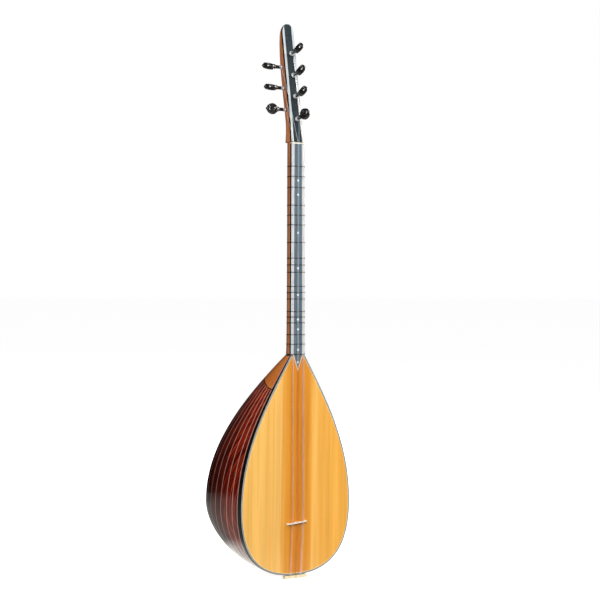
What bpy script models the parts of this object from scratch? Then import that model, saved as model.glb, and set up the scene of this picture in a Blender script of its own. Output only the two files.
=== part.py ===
"""Short-necked baglama, a long-necked lute of the saz family, as its separate pieces.

The instrument stands upright: +Z runs from the tail to the peghead, the soundboard faces -Y and the
side pegs point to -X. The origin is the middle of the neck's section at the nut. Metres.
"""
import math

import bmesh
import bpy
import numpy as np
from mathutils import Matrix, Vector

# Scale, neck and peghead
SCALE_LENGTH = 0.750          # nut to bridge
LAST_FRET = 14                # semitones from the open string to the last tied fret
FRET_TO_JOINT = 0.0016        # last fret to the joint of neck and bowl
NECK_LENGTH = SCALE_LENGTH * (1 - 2 ** (-LAST_FRET / 12)) + FRET_TO_JOINT
NECK_TILT = math.radians(1.0)     # the neck leans back from the soundboard's plane
PEGHEAD_TILT = math.radians(9.5)  # and the peghead leans back from the neck's
NUT_HALF_WIDTH = 0.0153
JOINT_HALF_WIDTH = 0.0167
NECK_DEPTHS = ((0.0, 0.0312), (0.012, 0.0300), (0.040, 0.0290), (0.430, 0.0275))  # joint to nut
NECK_ROUNDNESS = 2.4          # exponent of the D-shaped back, 2 for an ellipse
FINGERBOARD_THICKNESS = 0.005
V_HALF_WIDTH = 0.0110         # the fingerboard's pointed end, let into the soundboard
V_LENGTH = 0.032

# Bowl and soundboard: half width and depth along the length, each as two Bezier curves
BOARD_LENGTH = 0.437
HALF_WIDTH = 0.1288
WIDEST_AT = 0.3007
DEPTH = 0.2446
DEEPEST_AT = 0.305
WIDTH_CURVES = (
    ((JOINT_HALF_WIDTH, 0.0), (0.0764, 0.0994), (HALF_WIDTH, 0.1858), (HALF_WIDTH, WIDEST_AT)),
    ((HALF_WIDTH, WIDEST_AT), (HALF_WIDTH, 0.3886), (0.0902, BOARD_LENGTH), (0.0, BOARD_LENGTH)),
)
DEPTH_CURVES = (
    ((0.0313, 0.0), (0.1583, 0.1000), (DEPTH, 0.2050), (DEPTH, DEEPEST_AT)),
    ((DEPTH, DEEPEST_AT), (DEPTH, 0.3810), (0.0450, BOARD_LENGTH), (0.0, BOARD_LENGTH)),
)
BOWL_ROUNDNESS = 2.6          # exponent of a cross section
BOARD_THICKNESS = 0.003
BINDING_WIDTH = 0.0045
STAVE_THICKNESS = 0.003
STAVES_PER_SIDE = 11
STAVES_PER_PANEL = 2
STAVE_GROWTH = 1.14           # staves widen a little towards the middle of the back
RIM_SHARE = 0.034             # the black rim band's part of half the girth
HEEL_LENGTH_AT_RIM = 0.066
HEEL_LENGTH_AT_BACK = 0.041
HEEL_CORNER = 0.25            # the smaller, the more suddenly its edge climbs from the rim
HEEL_START = 0.0003
TAIL_CAP_START = BOARD_LENGTH - 0.003
NECK_BLOCK_END = 0.070
TAIL_BLOCK_RINGS = (0.019, 0.011, 0.0055, 0.0025, 0.0010, 0.0002)  # distances from the tail
SOUND_HOLE_RADIUS = 0.0055
SOUND_HOLE_DEPTH = 0.0195     # its centre's distance behind the soundboard's face

# Peghead
PEGHEAD_LENGTH = 0.243
PEGHEAD_HALF_WIDTH = 0.0134
PEGHEAD_WAIST = 0.045         # where the face has narrowed to that width
PEGHEAD_ROUND = 0.022         # length of the rounded top
PEGHEAD_DEPTHS = ((0.0, 0.0276), (0.015, 0.0242), (0.035, 0.0217), (0.060, 0.0211),
                  (0.106, 0.0224), (0.165, 0.0217), (0.190, 0.0196), (0.211, 0.0164),
                  (0.238, 0.0080))
PEGHEAD_ROUNDNESS = 8.0
PEGHEAD_OVERHANG = 0.0002     # of the overlay over the wood, on each side
OVERLAY_THICKNESS = 0.005
NUT_THICKNESS = 0.003
NUT_TOP = 0.00105             # above the fingerboard
NUT_HEIGHT = 0.00575
NUT_EDGE = 0.0004
NUT_PEAK = 0.8                # the strings bend over it at this share of its thickness

# Pegs
FRONT_PEGS = (0.0450, 0.0915, 0.1345, 0.1795)   # along the peghead, lowest first
SIDE_PEGS = (0.0680, 0.1122, 0.1552)
FRONT_PEG_RAKE = math.radians(6.0)          # they point a little up from the face's normal
SIDE_PEG_DEPTH = 0.0118                     # behind the face
FRONT_PEG_TURNS = (8, -38, -35, -38)        # how far each peg is turned, in degrees
SIDE_PEG_TURNS = (6, 62, 58)
PEG_RADIUS = 0.0032
PEG_SHAFT_OUT = 0.018                       # from the peghead to the collar
PEG_COLLAR = (0.0048, 0.0030)               # radius, height
PEG_THROAT = 0.0038                         # radius on both sides of the collar
PEG_HEAD_CENTRE = 0.0326
PEG_HEAD_HALF = (0.0110, 0.0048, 0.0122)    # across, thick, along
PEG_KNOB = (0.0029, 0.0025)                 # radius, half height
PEG_TIP_OUT = 0.0025                        # its tip past the far face

# Strings, bridge and string holder
STRING_RADIUS = 0.00025
STRINGS_AT_NUT = (-0.0128, -0.0108, -0.0012, 0.0008, 0.0086, 0.0106, 0.0126)
STRINGS_AT_BRIDGE = (-0.0146, -0.0124, -0.0023, -0.0001, 0.0089, 0.0111, 0.0133)
BRIDGE_AT = SCALE_LENGTH - NECK_LENGTH      # below the joint
BRIDGE_HALF_LENGTH = 0.0235
BRIDGE_HEIGHT = 0.0068
BRIDGE_THICKNESS = 0.0036                   # at its feet
BRIDGE_TOP_SHARE = 0.35                     # of that thickness is left at its top
BRIDGE_STRING_GAP = 0.00045                 # lets the loose bridge be moved under the strings
BRIDGE_SKEW = math.radians(4.5)
BRIDGE_SHOULDER = (0.004, 0.0022)           # its sloping end: length, height where it starts
BRIDGE_ARCH = (0.0115, 0.0075, 0.0030)      # centre, half width, height
HOLDER_HALF_WIDTH = 0.026
HOLDER_FRONT = -0.0015                      # in front of the soundboard's face
HOLDER_BACK = 0.0075
HOLDER_HEIGHT = 0.0055
HOLDER_SLOT = (0.0016, 0.0040)              # width, depth
STRING_END = 0.0045                         # below the tail, inside the holder's slot
WINDING_AT = 0.005                          # string meets the peg this far above the surface

# Frets: tied nylon, three turns each
FRETS = (1.05, 1.55, 2.1, 3.05, 3.6, 4.15, 5.2, 6.2, 6.65, 7.15, 8.15, 8.6, 9.1, 10.1, 10.55, 11.05,
         12.1, 13, 14)        # in semitones above the open string
FRET_WIDTH = 0.0018
FRET_THICKNESS = 0.0006

GAP = 0.0003                  # between glued or touching pieces
BLOCK_GAP = 0.0008            # between the inner blocks and the staves
RIM_TOP = BOARD_THICKNESS + GAP
BORE_CLEARANCE = 0.0004

# Colour, roughness and metallic value of each material
MATERIALS = {
    "rosewood": ((0.120, 0.022, 0.013), 0.12, 0.0),
    "ebony": ((0.012, 0.011, 0.012), 0.25, 0.0),
    "neck_wood": ((0.300, 0.115, 0.040), 0.30, 0.0),
    "heel_wood": ((0.560, 0.190, 0.040), 0.25, 0.0),
    "block_wood": ((0.500, 0.330, 0.170), 0.60, 0.0),
    "spruce": ((0.850, 0.480, 0.130), 0.35, 0.0),
    "pearl": ((0.700, 0.720, 0.700), 0.25, 0.0),
    "bone": ((0.850, 0.800, 0.660), 0.35, 0.0),
    "boxwood": ((0.800, 0.600, 0.280), 0.40, 0.0),
    "peg_black": ((0.010, 0.010, 0.011), 0.20, 0.0),
    "steel": ((0.650, 0.640, 0.620), 0.25, 1.0),
    "nylon": ((0.120, 0.100, 0.070), 0.40, 0.0),
}


def clear_scene():
    for thing in list(bpy.data.objects):
        bpy.data.objects.remove(thing, do_unlink=True)


def new_collection(name):
    collection = bpy.data.collections.new(name)
    bpy.context.scene.collection.children.link(collection)
    return collection


def material(name):
    found = bpy.data.materials.get(name)
    if found:
        return found
    colour, roughness, metallic = MATERIALS[name]
    made = bpy.data.materials.new(name)
    made.use_nodes = True
    shader = made.node_tree.nodes["Principled BSDF"]
    shader.inputs["Base Color"].default_value = (*colour, 1.0)
    shader.inputs["Roughness"].default_value = roughness
    shader.inputs["Metallic"].default_value = metallic
    return made


def datum(name, location, parent=None, rotation=0.0):
    """An empty that carries pieces; rotation is about X."""
    empty = bpy.data.objects.new(name, None)
    empty.empty_display_size = 0.02
    empty.location = location
    empty.rotation_euler = (rotation, 0.0, 0.0)
    empty.parent = parent
    PARTS.objects.link(empty)
    return empty


def add_piece(name, mesh, finish, parent, smooth=True):
    """One named piece of the instrument, carried by its datum."""
    piece = bpy.data.objects.new(name, mesh)
    piece.parent = parent
    piece.data.materials.clear()
    piece.data.materials.append(material(finish))
    if smooth:
        mesh.shade_smooth()
        mesh.set_sharp_from_angle(angle=math.radians(35))
    PARTS.objects.link(piece)
    return piece


def mesh_from(name, build):
    """A mesh made by build(bm), with its faces turned outwards."""
    mesh = bpy.data.meshes.new(name)
    bm = bmesh.new()
    build(bm)
    bmesh.ops.recalc_face_normals(bm, faces=bm.faces)
    bm.to_mesh(mesh)
    bm.free()
    return mesh


def loft(name, rings):
    """A closed solid through rings of equally many points, with flat or fanned ends."""
    def build(bm):
        loops = [[bm.verts.new(point) for point in ring] for ring in rings]
        count = len(loops[0])
        for lower, upper in zip(loops, loops[1:]):
            for i in range(count):
                j = (i + 1) % count
                bm.faces.new((lower[i], lower[j], upper[j], upper[i]))
        bm.faces.new(loops[0])
        bm.faces.new(loops[-1])
    return mesh_from(name, build)


def plate(name, outline, thickness):
    """A flat solid: the outline in local X and Z, from y = 0 back to y = thickness."""
    curve = bpy.data.curves.new(name, "CURVE")
    curve.dimensions = "2D"
    curve.fill_mode = "BOTH"
    curve.extrude = thickness / 2
    spline = curve.splines.new("POLY")
    spline.points.add(len(outline) - 1)
    for point, (x, z) in zip(spline.points, outline):
        point.co = (x, z, 0.0, 1.0)
    spline.use_cyclic_u = True
    drawn = bpy.data.objects.new(name, curve)
    bpy.context.scene.collection.objects.link(drawn)
    bpy.context.view_layer.update()
    graph = bpy.context.evaluated_depsgraph_get()
    mesh = bpy.data.meshes.new_from_object(drawn.evaluated_get(graph))
    bpy.data.objects.remove(drawn, do_unlink=True)
    bm = bmesh.new()
    bm.from_mesh(mesh)
    bmesh.ops.remove_doubles(bm, verts=bm.verts, dist=1e-6)
    upright = Matrix.Translation((0, thickness / 2, 0)) @ Matrix.Rotation(math.pi / 2, 4, "X")
    bmesh.ops.transform(bm, matrix=upright, verts=bm.verts)
    bmesh.ops.recalc_face_normals(bm, faces=bm.faces)
    bm.to_mesh(mesh)
    bm.free()
    return mesh


def tube(name, points, radius):
    """A string: a thin wire along straight runs, with closed ends."""
    curve = bpy.data.curves.new(name, "CURVE")
    curve.dimensions = "3D"
    curve.bevel_depth = radius
    curve.bevel_resolution = 2
    curve.use_fill_caps = True
    spline = curve.splines.new("POLY")
    spline.points.add(len(points) - 1)
    for point, place in zip(spline.points, points):
        point.co = (*place, 1.0)
    piece = bpy.data.objects.new(name, curve)
    curve.materials.append(material("steel"))
    PARTS.objects.link(piece)
    return piece


def boolean(piece, operation, other):
    step = piece.modifiers.new(other.name, "BOOLEAN")
    step.operation = operation
    step.solver = "EXACT"
    step.object = other


def cutter(name, mesh, matrix):
    tool = bpy.data.objects.new(name, mesh)
    tool.matrix_world = matrix
    tool.hide_render = True
    tool.display_type = "WIRE"
    CUTTERS.objects.link(tool)
    return tool


def cylinder_mesh(name, radius, length, sides=16):
    """A cylinder about local Z, from -length / 2 to length / 2."""
    def build(bm):
        bmesh.ops.create_cone(bm, cap_ends=True, segments=sides, radius1=radius, radius2=radius,
                              depth=length)
    return mesh_from(name, build)


# ---------------------------------------------------------------- bowl surface

def curve_table(curves, samples=240):
    """Points along joined Bezier curves, as columns of value and distance from the joint."""
    t = np.linspace(0, 1, samples)[:, None]
    rows = []
    for a, b, c, d in np.array(curves):
        rows.append((1 - t) ** 3 * a + 3 * (1 - t) ** 2 * t * b + 3 * (1 - t) * t ** 2 * c + t ** 3 * d)
    return np.concatenate([rows[0], rows[1][1:]])


WIDTHS = curve_table(WIDTH_CURVES)
DEPTHS = curve_table(DEPTH_CURVES)
QUARTER = np.linspace(0, math.pi / 2, 49)


def bowl_section(s):
    """The right half of the cross section at s, from the rim to the middle of the back."""
    width = np.interp(s, WIDTHS[:, 1], WIDTHS[:, 0])
    depth = max(np.interp(s, DEPTHS[:, 1], DEPTHS[:, 0]) - RIM_TOP, 0.0)
    power = 2 / BOWL_ROUNDNESS
    x = width * np.clip(np.cos(QUARTER), 0, 1) ** power
    y = RIM_TOP + depth * np.sin(QUARTER) ** power
    length = np.concatenate([[0], np.cumsum(np.hypot(np.diff(x), np.diff(y)))])
    return x, y, length


def half_girth(s):
    return bowl_section(s)[2][-1]


def bowl_surface(s, v):
    """A point of the outer surface: v is -1 at the left rim, 0 at the back's middle, 1 at the right."""
    x, y, length = bowl_section(s)
    reach = (1 - abs(v)) * length[-1]
    side = -1 if v < 0 else 1
    return Vector((side * np.interp(reach, length, x), np.interp(reach, length, y), -s))


def bowl_point(s, v, depth=0.0):
    """The same point moved inwards, at a right angle to the surface."""
    s = min(s, BOARD_LENGTH - 2e-5)
    place = bowl_surface(s, v)
    if depth == 0.0:
        return place
    step = min(0.0005, (BOARD_LENGTH - s) / 2)
    v_step = 0.0005 / half_girth(s)
    along = bowl_surface(s + step, v) - bowl_surface(s - step, v)
    round_it = bowl_surface(s, min(v + v_step, 1.0)) - bowl_surface(s, max(v - v_step, -1.0))
    normal = along.cross(round_it).normalized()
    if normal.dot(Vector((place.x, place.y - 0.03, -s + 0.20))) < 0:
        normal.negate()
    if abs(v) == 1.0:
        normal.y = 0.0
        normal.normalize()
    return place - normal * depth


def heel_edge(v):
    """Where the heel cap ends and the staves begin."""
    inwards = (1 - abs(v)) ** 2
    share = (1 + HEEL_CORNER) * inwards / (inwards + HEEL_CORNER)
    return HEEL_LENGTH_AT_RIM - (HEEL_LENGTH_AT_RIM - HEEL_LENGTH_AT_BACK) * share


def stave_seams():
    """The seams of the staves between the two rim bands, as values of v."""
    share = 1 - RIM_SHARE
    right = [share * (1 - (k / STAVES_PER_SIDE) ** STAVE_GROWTH) for k in range(STAVES_PER_SIDE + 1)]
    return [-v for v in right] + right[-2::-1]


def bowl_shell(name, v_range, s_range, columns, rows):
    """A piece of the bowl's wall between two seams; s_range holds a start and an end for each v.

    Rows get closer towards the tail, where the wall turns fastest.
    """
    def at(i, j, depth):
        v = v_range[0] + (v_range[1] - v_range[0]) * j / columns
        start, end = (math.sqrt(BOARD_LENGTH - limit(v)) for limit in s_range)
        s = BOARD_LENGTH - (start + (end - start) * i / rows) ** 2
        inset = GAP / 2 / half_girth(min(s, BOARD_LENGTH - 2e-5))
        low = v_range[0] + (inset if v_range[0] > -1 else 0)
        high = v_range[1] - (inset if v_range[1] < 1 else 0)
        return bowl_point(s, low + (high - low) * j / columns, depth)

    def build(bm):
        outer = [[bm.verts.new(at(i, j, 0.0)) for j in range(columns + 1)] for i in range(rows + 1)]
        inner = [[bm.verts.new(at(i, j, STAVE_THICKNESS)) for j in range(columns + 1)]
                 for i in range(rows + 1)]
        for i in range(rows):
            for j in range(columns):
                bm.faces.new((outer[i][j], outer[i][j + 1], outer[i + 1][j + 1], outer[i + 1][j]))
                bm.faces.new((inner[i][j], inner[i + 1][j], inner[i + 1][j + 1], inner[i][j + 1]))
        for i in range(rows):
            bm.faces.new((outer[i][0], outer[i + 1][0], inner[i + 1][0], inner[i][0]))
            bm.faces.new((outer[i][-1], inner[i][-1], inner[i + 1][-1], outer[i + 1][-1]))
        for j in range(columns):
            bm.faces.new((outer[0][j], inner[0][j], inner[0][j + 1], outer[0][j + 1]))
            bm.faces.new((outer[-1][j], outer[-1][j + 1], inner[-1][j + 1], inner[-1][j]))
    return mesh_from(name, build)


def inner_block(name, s_values, columns=16):
    """A solid block that fills the bowl's end, just inside the staves."""
    clear = STAVE_THICKNESS + BLOCK_GAP
    rings = [[bowl_point(s, -1 + 2 * j / columns, clear) for j in range(columns + 1)]
             for s in s_values]
    return loft(name, rings)


def make_bowl(body):
    seams = stave_seams()
    rim_v = 1 - RIM_SHARE

    def band_start(v):
        return HEEL_START

    def cap_end(v):
        return heel_edge(v) - GAP / 2

    def stave_start(v):
        return heel_edge(v) + GAP / 2

    def stave_end(v):
        return TAIL_CAP_START - GAP / 2

    def tail_start(v):
        return TAIL_CAP_START + GAP / 2

    def tail_end(v):
        return BOARD_LENGTH - 3e-5

    for name, v_range in (("rim_band_left", (-1.0, -rim_v)), ("rim_band_right", (rim_v, 1.0))):
        mesh = bowl_shell(name, v_range, (band_start, stave_end), 1, 24)
        add_piece(name, mesh, "ebony", body)
    for number in range(STAVES_PER_SIDE):
        first = number * STAVES_PER_PANEL
        name = f"stave_pair_{number + 1:02d}"
        mesh = bowl_shell(name, (seams[first], seams[first + STAVES_PER_PANEL]),
                          (stave_start, stave_end), 4, 20)
        add_piece(name, mesh, "rosewood", body)
    add_piece("heel_cap", bowl_shell("heel_cap", (-rim_v, rim_v), (band_start, cap_end), 44, 4),
              "heel_wood", body)
    tail = add_piece("tail_cap", bowl_shell("tail_cap", (-1.0, 1.0), (tail_start, tail_end), 20, 4),
                     "rosewood", body)
    neck_block = inner_block("neck_block", np.linspace(0.001, NECK_BLOCK_END, 6))
    add_piece("neck_block", neck_block, "block_wood", body)
    tail_block = inner_block("tail_block", [BOARD_LENGTH - before for before in TAIL_BLOCK_RINGS])
    tail_block = add_piece("tail_block", tail_block, "block_wood", body)
    place = body.matrix_world @ Matrix.Translation((0, SOUND_HOLE_DEPTH, -BOARD_LENGTH))
    hole = cutter("sound_hole", cylinder_mesh("sound_hole", SOUND_HOLE_RADIUS, 0.08, 20), place)
    boolean(tail, "DIFFERENCE", hole)
    boolean(tail_block, "DIFFERENCE", hole)


# ---------------------------------------------------------------- soundboard

def board_edge(inset, samples=26):
    """The right edge of the soundboard from the joint to the tail, moved inwards by inset."""
    points = []
    for curve, count in zip(WIDTH_CURVES, (samples, samples)):
        a, b, c, d = (np.array(p) for p in curve)
        for t in np.linspace(0, 1, count)[(1 if points else 0):]:
            place = (1 - t) ** 3 * a + 3 * (1 - t) ** 2 * t * b + 3 * (1 - t) * t ** 2 * c + t ** 3 * d
            slope = (1 - t) ** 2 * (b - a) + 2 * (1 - t) * t * (c - b) + t ** 2 * (d - c)
            slope = slope / np.linalg.norm(slope)
            points.append((place[0] - inset * slope[1], -(place[1] + inset * slope[0])))
    return points


def extended_up(points, z):
    """The edge with one more point in front, where its first run reaches height z."""
    (x0, z0), (x1, z1) = points[0], points[1]
    if z0 >= z:
        return points
    return [(x0 + (x1 - x0) * (z - z0) / (z1 - z0), z)] + points


def make_soundboard(body):
    top = -GAP
    outer = [(x, min(z, top)) for x, z in board_edge(0.0)]
    inner = extended_up(board_edge(BINDING_WIDTH), top)
    left_outer = [(-x, z) for x, z in outer]
    left_inner = [(-x, z) for x, z in inner]
    ring = outer + left_outer[-2::-1] + left_inner + inner[-2::-1]
    add_piece("edge_binding", plate("edge_binding", ring, BOARD_THICKNESS), "pearl", body, False)

    wood_top = -0.002
    edge = [p for p in board_edge(BINDING_WIDTH + GAP) if p[1] < wood_top]
    edge = extended_up(edge, wood_top)
    v_slope = V_HALF_WIDTH / V_LENGTH
    v_gap = GAP * math.hypot(1, v_slope)
    v_start = (V_HALF_WIDTH + v_slope * wood_top + v_gap, wood_top)
    v_tip = (GAP / 2, -V_LENGTH - (v_gap - GAP / 2) / v_slope)
    bottom = (GAP / 2, edge[-1][1])
    right = [v_start] + edge[:-1] + [bottom, v_tip]
    left = [(-x, z) for x, z in right]
    for name, outline in (("soundboard_right", right), ("soundboard_left", left)):
        add_piece(name, plate(name, outline, BOARD_THICKNESS), "spruce", body, False)


# ---------------------------------------------------------------- neck

def neck_half_width(z):
    return JOINT_HALF_WIDTH + (NUT_HALF_WIDTH - JOINT_HALF_WIDTH) * z / NECK_LENGTH


def d_section(half_width, front, back, roundness, columns):
    """A D-shaped half section from the left front corner round the back to the right one."""
    points = []
    for j in range(columns + 1):
        angle = math.pi * j / columns
        x = -math.copysign(abs(math.cos(angle)) ** (2 / roundness), math.cos(angle)) * half_width
        points.append((x, front + (back - front) * abs(math.sin(angle)) ** (2 / roundness)))
    points[0], points[-1] = (-half_width, front), (half_width, front)
    return points


def table_value(table, z):
    return float(np.interp(z, [row[0] for row in table], [row[1] for row in table]))


def neck_section(z, columns=14):
    front = FINGERBOARD_THICKNESS + GAP
    return d_section(neck_half_width(z), front, table_value(NECK_DEPTHS, z), NECK_ROUNDNESS, columns)


def offset_outline(points, distance):
    """A convex outline moved outwards."""
    moved = []
    count = len(points)
    middle = sum((Vector(p) for p in points), Vector((0, 0))) / count
    for i in range(count):
        before, here, after = Vector(points[i - 1]), Vector(points[i]), Vector(points[(i + 1) % count])
        normals = []
        for start, end in ((before, here), (here, after)):
            run = (end - start).normalized()
            normal = Vector((run.y, -run.x))
            if normal.dot(here - middle) < 0:
                normal.negate()
            normals.append(normal)
        both = normals[0] + normals[1]
        moved.append(here + both * distance / (1 + normals[0].dot(normals[1])))
    return moved


def make_neck(neck):
    top = NECK_LENGTH + GAP + NUT_THICKNESS + GAP
    rings = []
    for z in (0.0, 0.006, 0.012, 0.024, 0.040, top):
        lift = math.tan(NECK_TILT) if z == 0.0 else 0.0
        rings.append([(x, y, z + GAP * (z == 0.0) + y * lift) for x, y in neck_section(z)])
    add_piece("neck", loft("neck", rings), "neck_wood", neck)

    n, t, w, v = NUT_HALF_WIDTH, FINGERBOARD_THICKNESS, JOINT_HALF_WIDTH, V_HALF_WIDTH
    tip_y, tip_z = V_LENGTH * math.sin(NECK_TILT), -V_LENGTH * math.cos(NECK_TILT)

    def build(bm):
        corners = ((-n, NECK_LENGTH), (n, NECK_LENGTH), (w, 0), (v, 0), (-v, 0), (-w, 0))
        front = [bm.verts.new((x, 0, z)) for x, z in corners]
        back = [bm.verts.new((p.co.x, t, p.co.z)) for p in front]
        step = [bm.verts.new((p.co.x, BOARD_THICKNESS, 0)) for p in front[3:5]]
        tips = [bm.verts.new((0, tip_y, tip_z)), bm.verts.new((0, tip_y + BOARD_THICKNESS, tip_z))]
        bm.faces.new(front)
        bm.faces.new(back)
        for i in (0, 1, 5):
            j = (i + 1) % 6
            bm.faces.new((front[i], front[j], back[j], back[i]))
        bm.faces.new((front[2], front[3], step[0], back[3], back[2]))
        bm.faces.new((front[4], front[5], back[5], back[4], step[1]))
        bm.faces.new((step[0], step[1], back[4], back[3]))
        bm.faces.new((front[3], front[4], tips[0]))
        bm.faces.new((step[0], step[1], tips[1]))
        bm.faces.new((front[3], tips[0], tips[1], step[0]))
        bm.faces.new((front[4], step[1], tips[1], tips[0]))
    add_piece("fingerboard", mesh_from("fingerboard", build), "ebony", neck, False)

    def build_nut(bm):
        size = (2 * NUT_HALF_WIDTH, NUT_HEIGHT, NUT_THICKNESS)
        centre = (0, NUT_HEIGHT / 2 - NUT_TOP, NECK_LENGTH + GAP + NUT_THICKNESS / 2)
        bmesh.ops.create_cube(bm, size=1.0)
        bmesh.ops.transform(bm, matrix=Matrix.LocRotScale(centre, None, size), verts=bm.verts)
    nut = add_piece("nut", mesh_from("nut", build_nut), "bone", neck, False)
    edges = nut.modifiers.new("rounded_edges", "BEVEL")
    edges.width = NUT_EDGE
    edges.segments = 2
    edges.limit_method = "ANGLE"


def make_frets(neck):
    for number, semitones in enumerate(FRETS, start=1):
        z = NECK_LENGTH - SCALE_LENGTH * (1 - 2 ** (-semitones / 12))
        section = neck_section(z)
        outline = [(section[0][0], 0.0)] + section + [(section[-1][0], 0.0)]
        inner = offset_outline(outline, GAP)
        outer = offset_outline(outline, GAP + FRET_THICKNESS)

        def build(bm):
            low, high = z - FRET_WIDTH / 2, z + FRET_WIDTH / 2
            loops = []
            for ring, height in ((inner, low), (outer, low), (outer, high), (inner, high)):
                loops.append([bm.verts.new((p.x, p.y, height)) for p in ring])
            for a, b in zip(loops, loops[1:] + loops[:1]):
                for i in range(len(a)):
                    j = (i + 1) % len(a)
                    bm.faces.new((a[i], a[j], b[j], b[i]))
        name = f"fret_{number:02d}"
        add_piece(name, mesh_from(name, build), "nylon", neck)


# ---------------------------------------------------------------- peghead and pegs

def peghead_half_width(z):
    if z < PEGHEAD_WAIST:
        share = z / PEGHEAD_WAIST
        ease = share * share * (3 - 2 * share)
        return NUT_HALF_WIDTH + (PEGHEAD_HALF_WIDTH - NUT_HALF_WIDTH) * ease
    into = max(z - (PEGHEAD_LENGTH - PEGHEAD_ROUND), 0.0) / PEGHEAD_ROUND
    return PEGHEAD_HALF_WIDTH * max(1 - into ** 2.2, 0.0) ** 0.5


def make_peghead(head):
    """The overlay and the wood behind it; returns both, still to be drilled."""
    heights = [GAP, 0.008, 0.016, 0.024, 0.034, PEGHEAD_WAIST, PEGHEAD_LENGTH - PEGHEAD_ROUND]
    heights += [PEGHEAD_LENGTH - PEGHEAD_ROUND * math.cos(math.radians(a)) for a in (25, 42, 56, 68, 78, 85)]
    right = [(peghead_half_width(z), z) for z in heights]
    left = [(-x, z) for x, z in reversed(right)]
    overlay = plate("peghead_overlay", right + [(0, PEGHEAD_LENGTH)] + left, OVERLAY_THICKNESS)
    overlay = add_piece("peghead_overlay", overlay, "ebony", head, False)

    front = OVERLAY_THICKNESS + GAP
    rings = []
    for z in (0.0, 0.008, 0.016, 0.024, 0.034, PEGHEAD_WAIST, 0.060, 0.100, 0.165, 0.178, 0.190, 0.203,
              0.215, 0.222, 0.229, 0.2345, 0.238):
        half_width = peghead_half_width(z) - PEGHEAD_OVERHANG
        section = d_section(half_width, front, table_value(PEGHEAD_DEPTHS, z), PEGHEAD_ROUNDNESS, 12)
        lean = math.tan(PEGHEAD_TILT) if z == 0.0 else 0.0
        rings.append([(x, y, z + GAP * (z == 0.0) + y * lean) for x, y in section])
    wood = add_piece("peghead", loft("peghead", rings), "neck_wood", head)
    return overlay, wood


def peg_matrix(place, direction, up, turn):
    """Local Z along the peg, outwards; local X is the wide way of its head."""
    z = direction.normalized()
    x = (up - up.dot(z) * z).normalized()
    y = z.cross(x)
    frame = Matrix((x, y, z)).transposed().to_4x4()
    return Matrix.Translation(place) @ frame @ Matrix.Rotation(math.radians(turn), 4, "Z")


def peg_mesh(name, inner_length):
    """Shaft, collar and knob are one turning; the flat oval head is joined on."""
    end = PEG_HEAD_CENTRE + PEG_HEAD_HALF[2]
    knob, knob_half = PEG_KNOB
    collar, height = PEG_COLLAR
    profile = ((0.0, end + knob_half), (knob / 2, end + 0.85 * knob_half), (knob, end),
               (knob / 2, end - 0.85 * knob_half), (PEG_THROAT, PEG_SHAFT_OUT + height),
               (collar, PEG_SHAFT_OUT + height / 2), (PEG_THROAT, PEG_SHAFT_OUT),
               (PEG_RADIUS, PEG_SHAFT_OUT - height), (PEG_RADIUS, -inner_length), (0.0, -inner_length))
    mesh = bpy.data.meshes.new(name)
    bm = bmesh.new()
    corners = [bm.verts.new((r, 0, z)) for r, z in profile]
    edges = [bm.edges.new(pair) for pair in zip(corners, corners[1:])]
    bmesh.ops.spin(bm, geom=corners + edges, axis=(0, 0, 1), cent=(0, 0, 0), steps=14,
                   angle=2 * math.pi, use_merge=True)
    bmesh.ops.remove_doubles(bm, verts=bm.verts, dist=1e-6)
    bmesh.ops.recalc_face_normals(bm, faces=bm.faces)
    bm.to_mesh(mesh)
    bm.free()
    return mesh


def head_mesh(name):
    def build(bm):
        bmesh.ops.create_uvsphere(bm, u_segments=16, v_segments=10, radius=1.0)
        bmesh.ops.transform(bm, matrix=Matrix.Diagonal((*PEG_HEAD_HALF, 1.0)), verts=bm.verts)
    return mesh_from(name, build)


def make_pegs(head, overlay, wood):
    """Seven pegs in their bores; returns each peg's datum matrix for the strings."""
    places = {}
    rake = Vector((0, -math.cos(FRONT_PEG_RAKE), math.sin(FRONT_PEG_RAKE)))
    for number, (z, turn) in enumerate(zip(FRONT_PEGS, FRONT_PEG_TURNS), start=1):
        depth = table_value(PEGHEAD_DEPTHS, z)
        matrix = peg_matrix(Vector((0, 0, z)), rake, Vector((0, 0, 1)), turn)
        places[f"front_peg_{number}"] = (matrix, depth + PEG_TIP_OUT, (overlay, wood))
    for number, (z, turn) in enumerate(zip(SIDE_PEGS, SIDE_PEG_TURNS), start=1):
        base = Vector((-PEGHEAD_HALF_WIDTH, SIDE_PEG_DEPTH, z))
        matrix = peg_matrix(base, Vector((-1, 0, 0)), Vector((0, 0, 1)), turn)
        places[f"side_peg_{number}"] = (matrix, 2 * PEGHEAD_HALF_WIDTH + PEG_TIP_OUT, (wood,))
    for name, (matrix, inner_length, drilled) in places.items():
        world = head.matrix_world @ matrix
        bore = cylinder_mesh(f"{name}_bore", PEG_RADIUS + BORE_CLEARANCE, 0.09)
        tool = cutter(f"{name}_bore", bore, world)
        for piece in drilled:
            boolean(piece, "DIFFERENCE", tool)
        peg = add_piece(name, peg_mesh(name, inner_length), "peg_black", head)
        peg.matrix_local = matrix
        shape = cutter(f"{name}_head", head_mesh(f"{name}_head"),
                       world @ Matrix.Translation((0, 0, PEG_HEAD_CENTRE)))
        boolean(peg, "UNION", shape)
    return {name: head.matrix_world @ row[0] for name, row in places.items()}


# ---------------------------------------------------------------- bridge, string holder and strings

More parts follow.
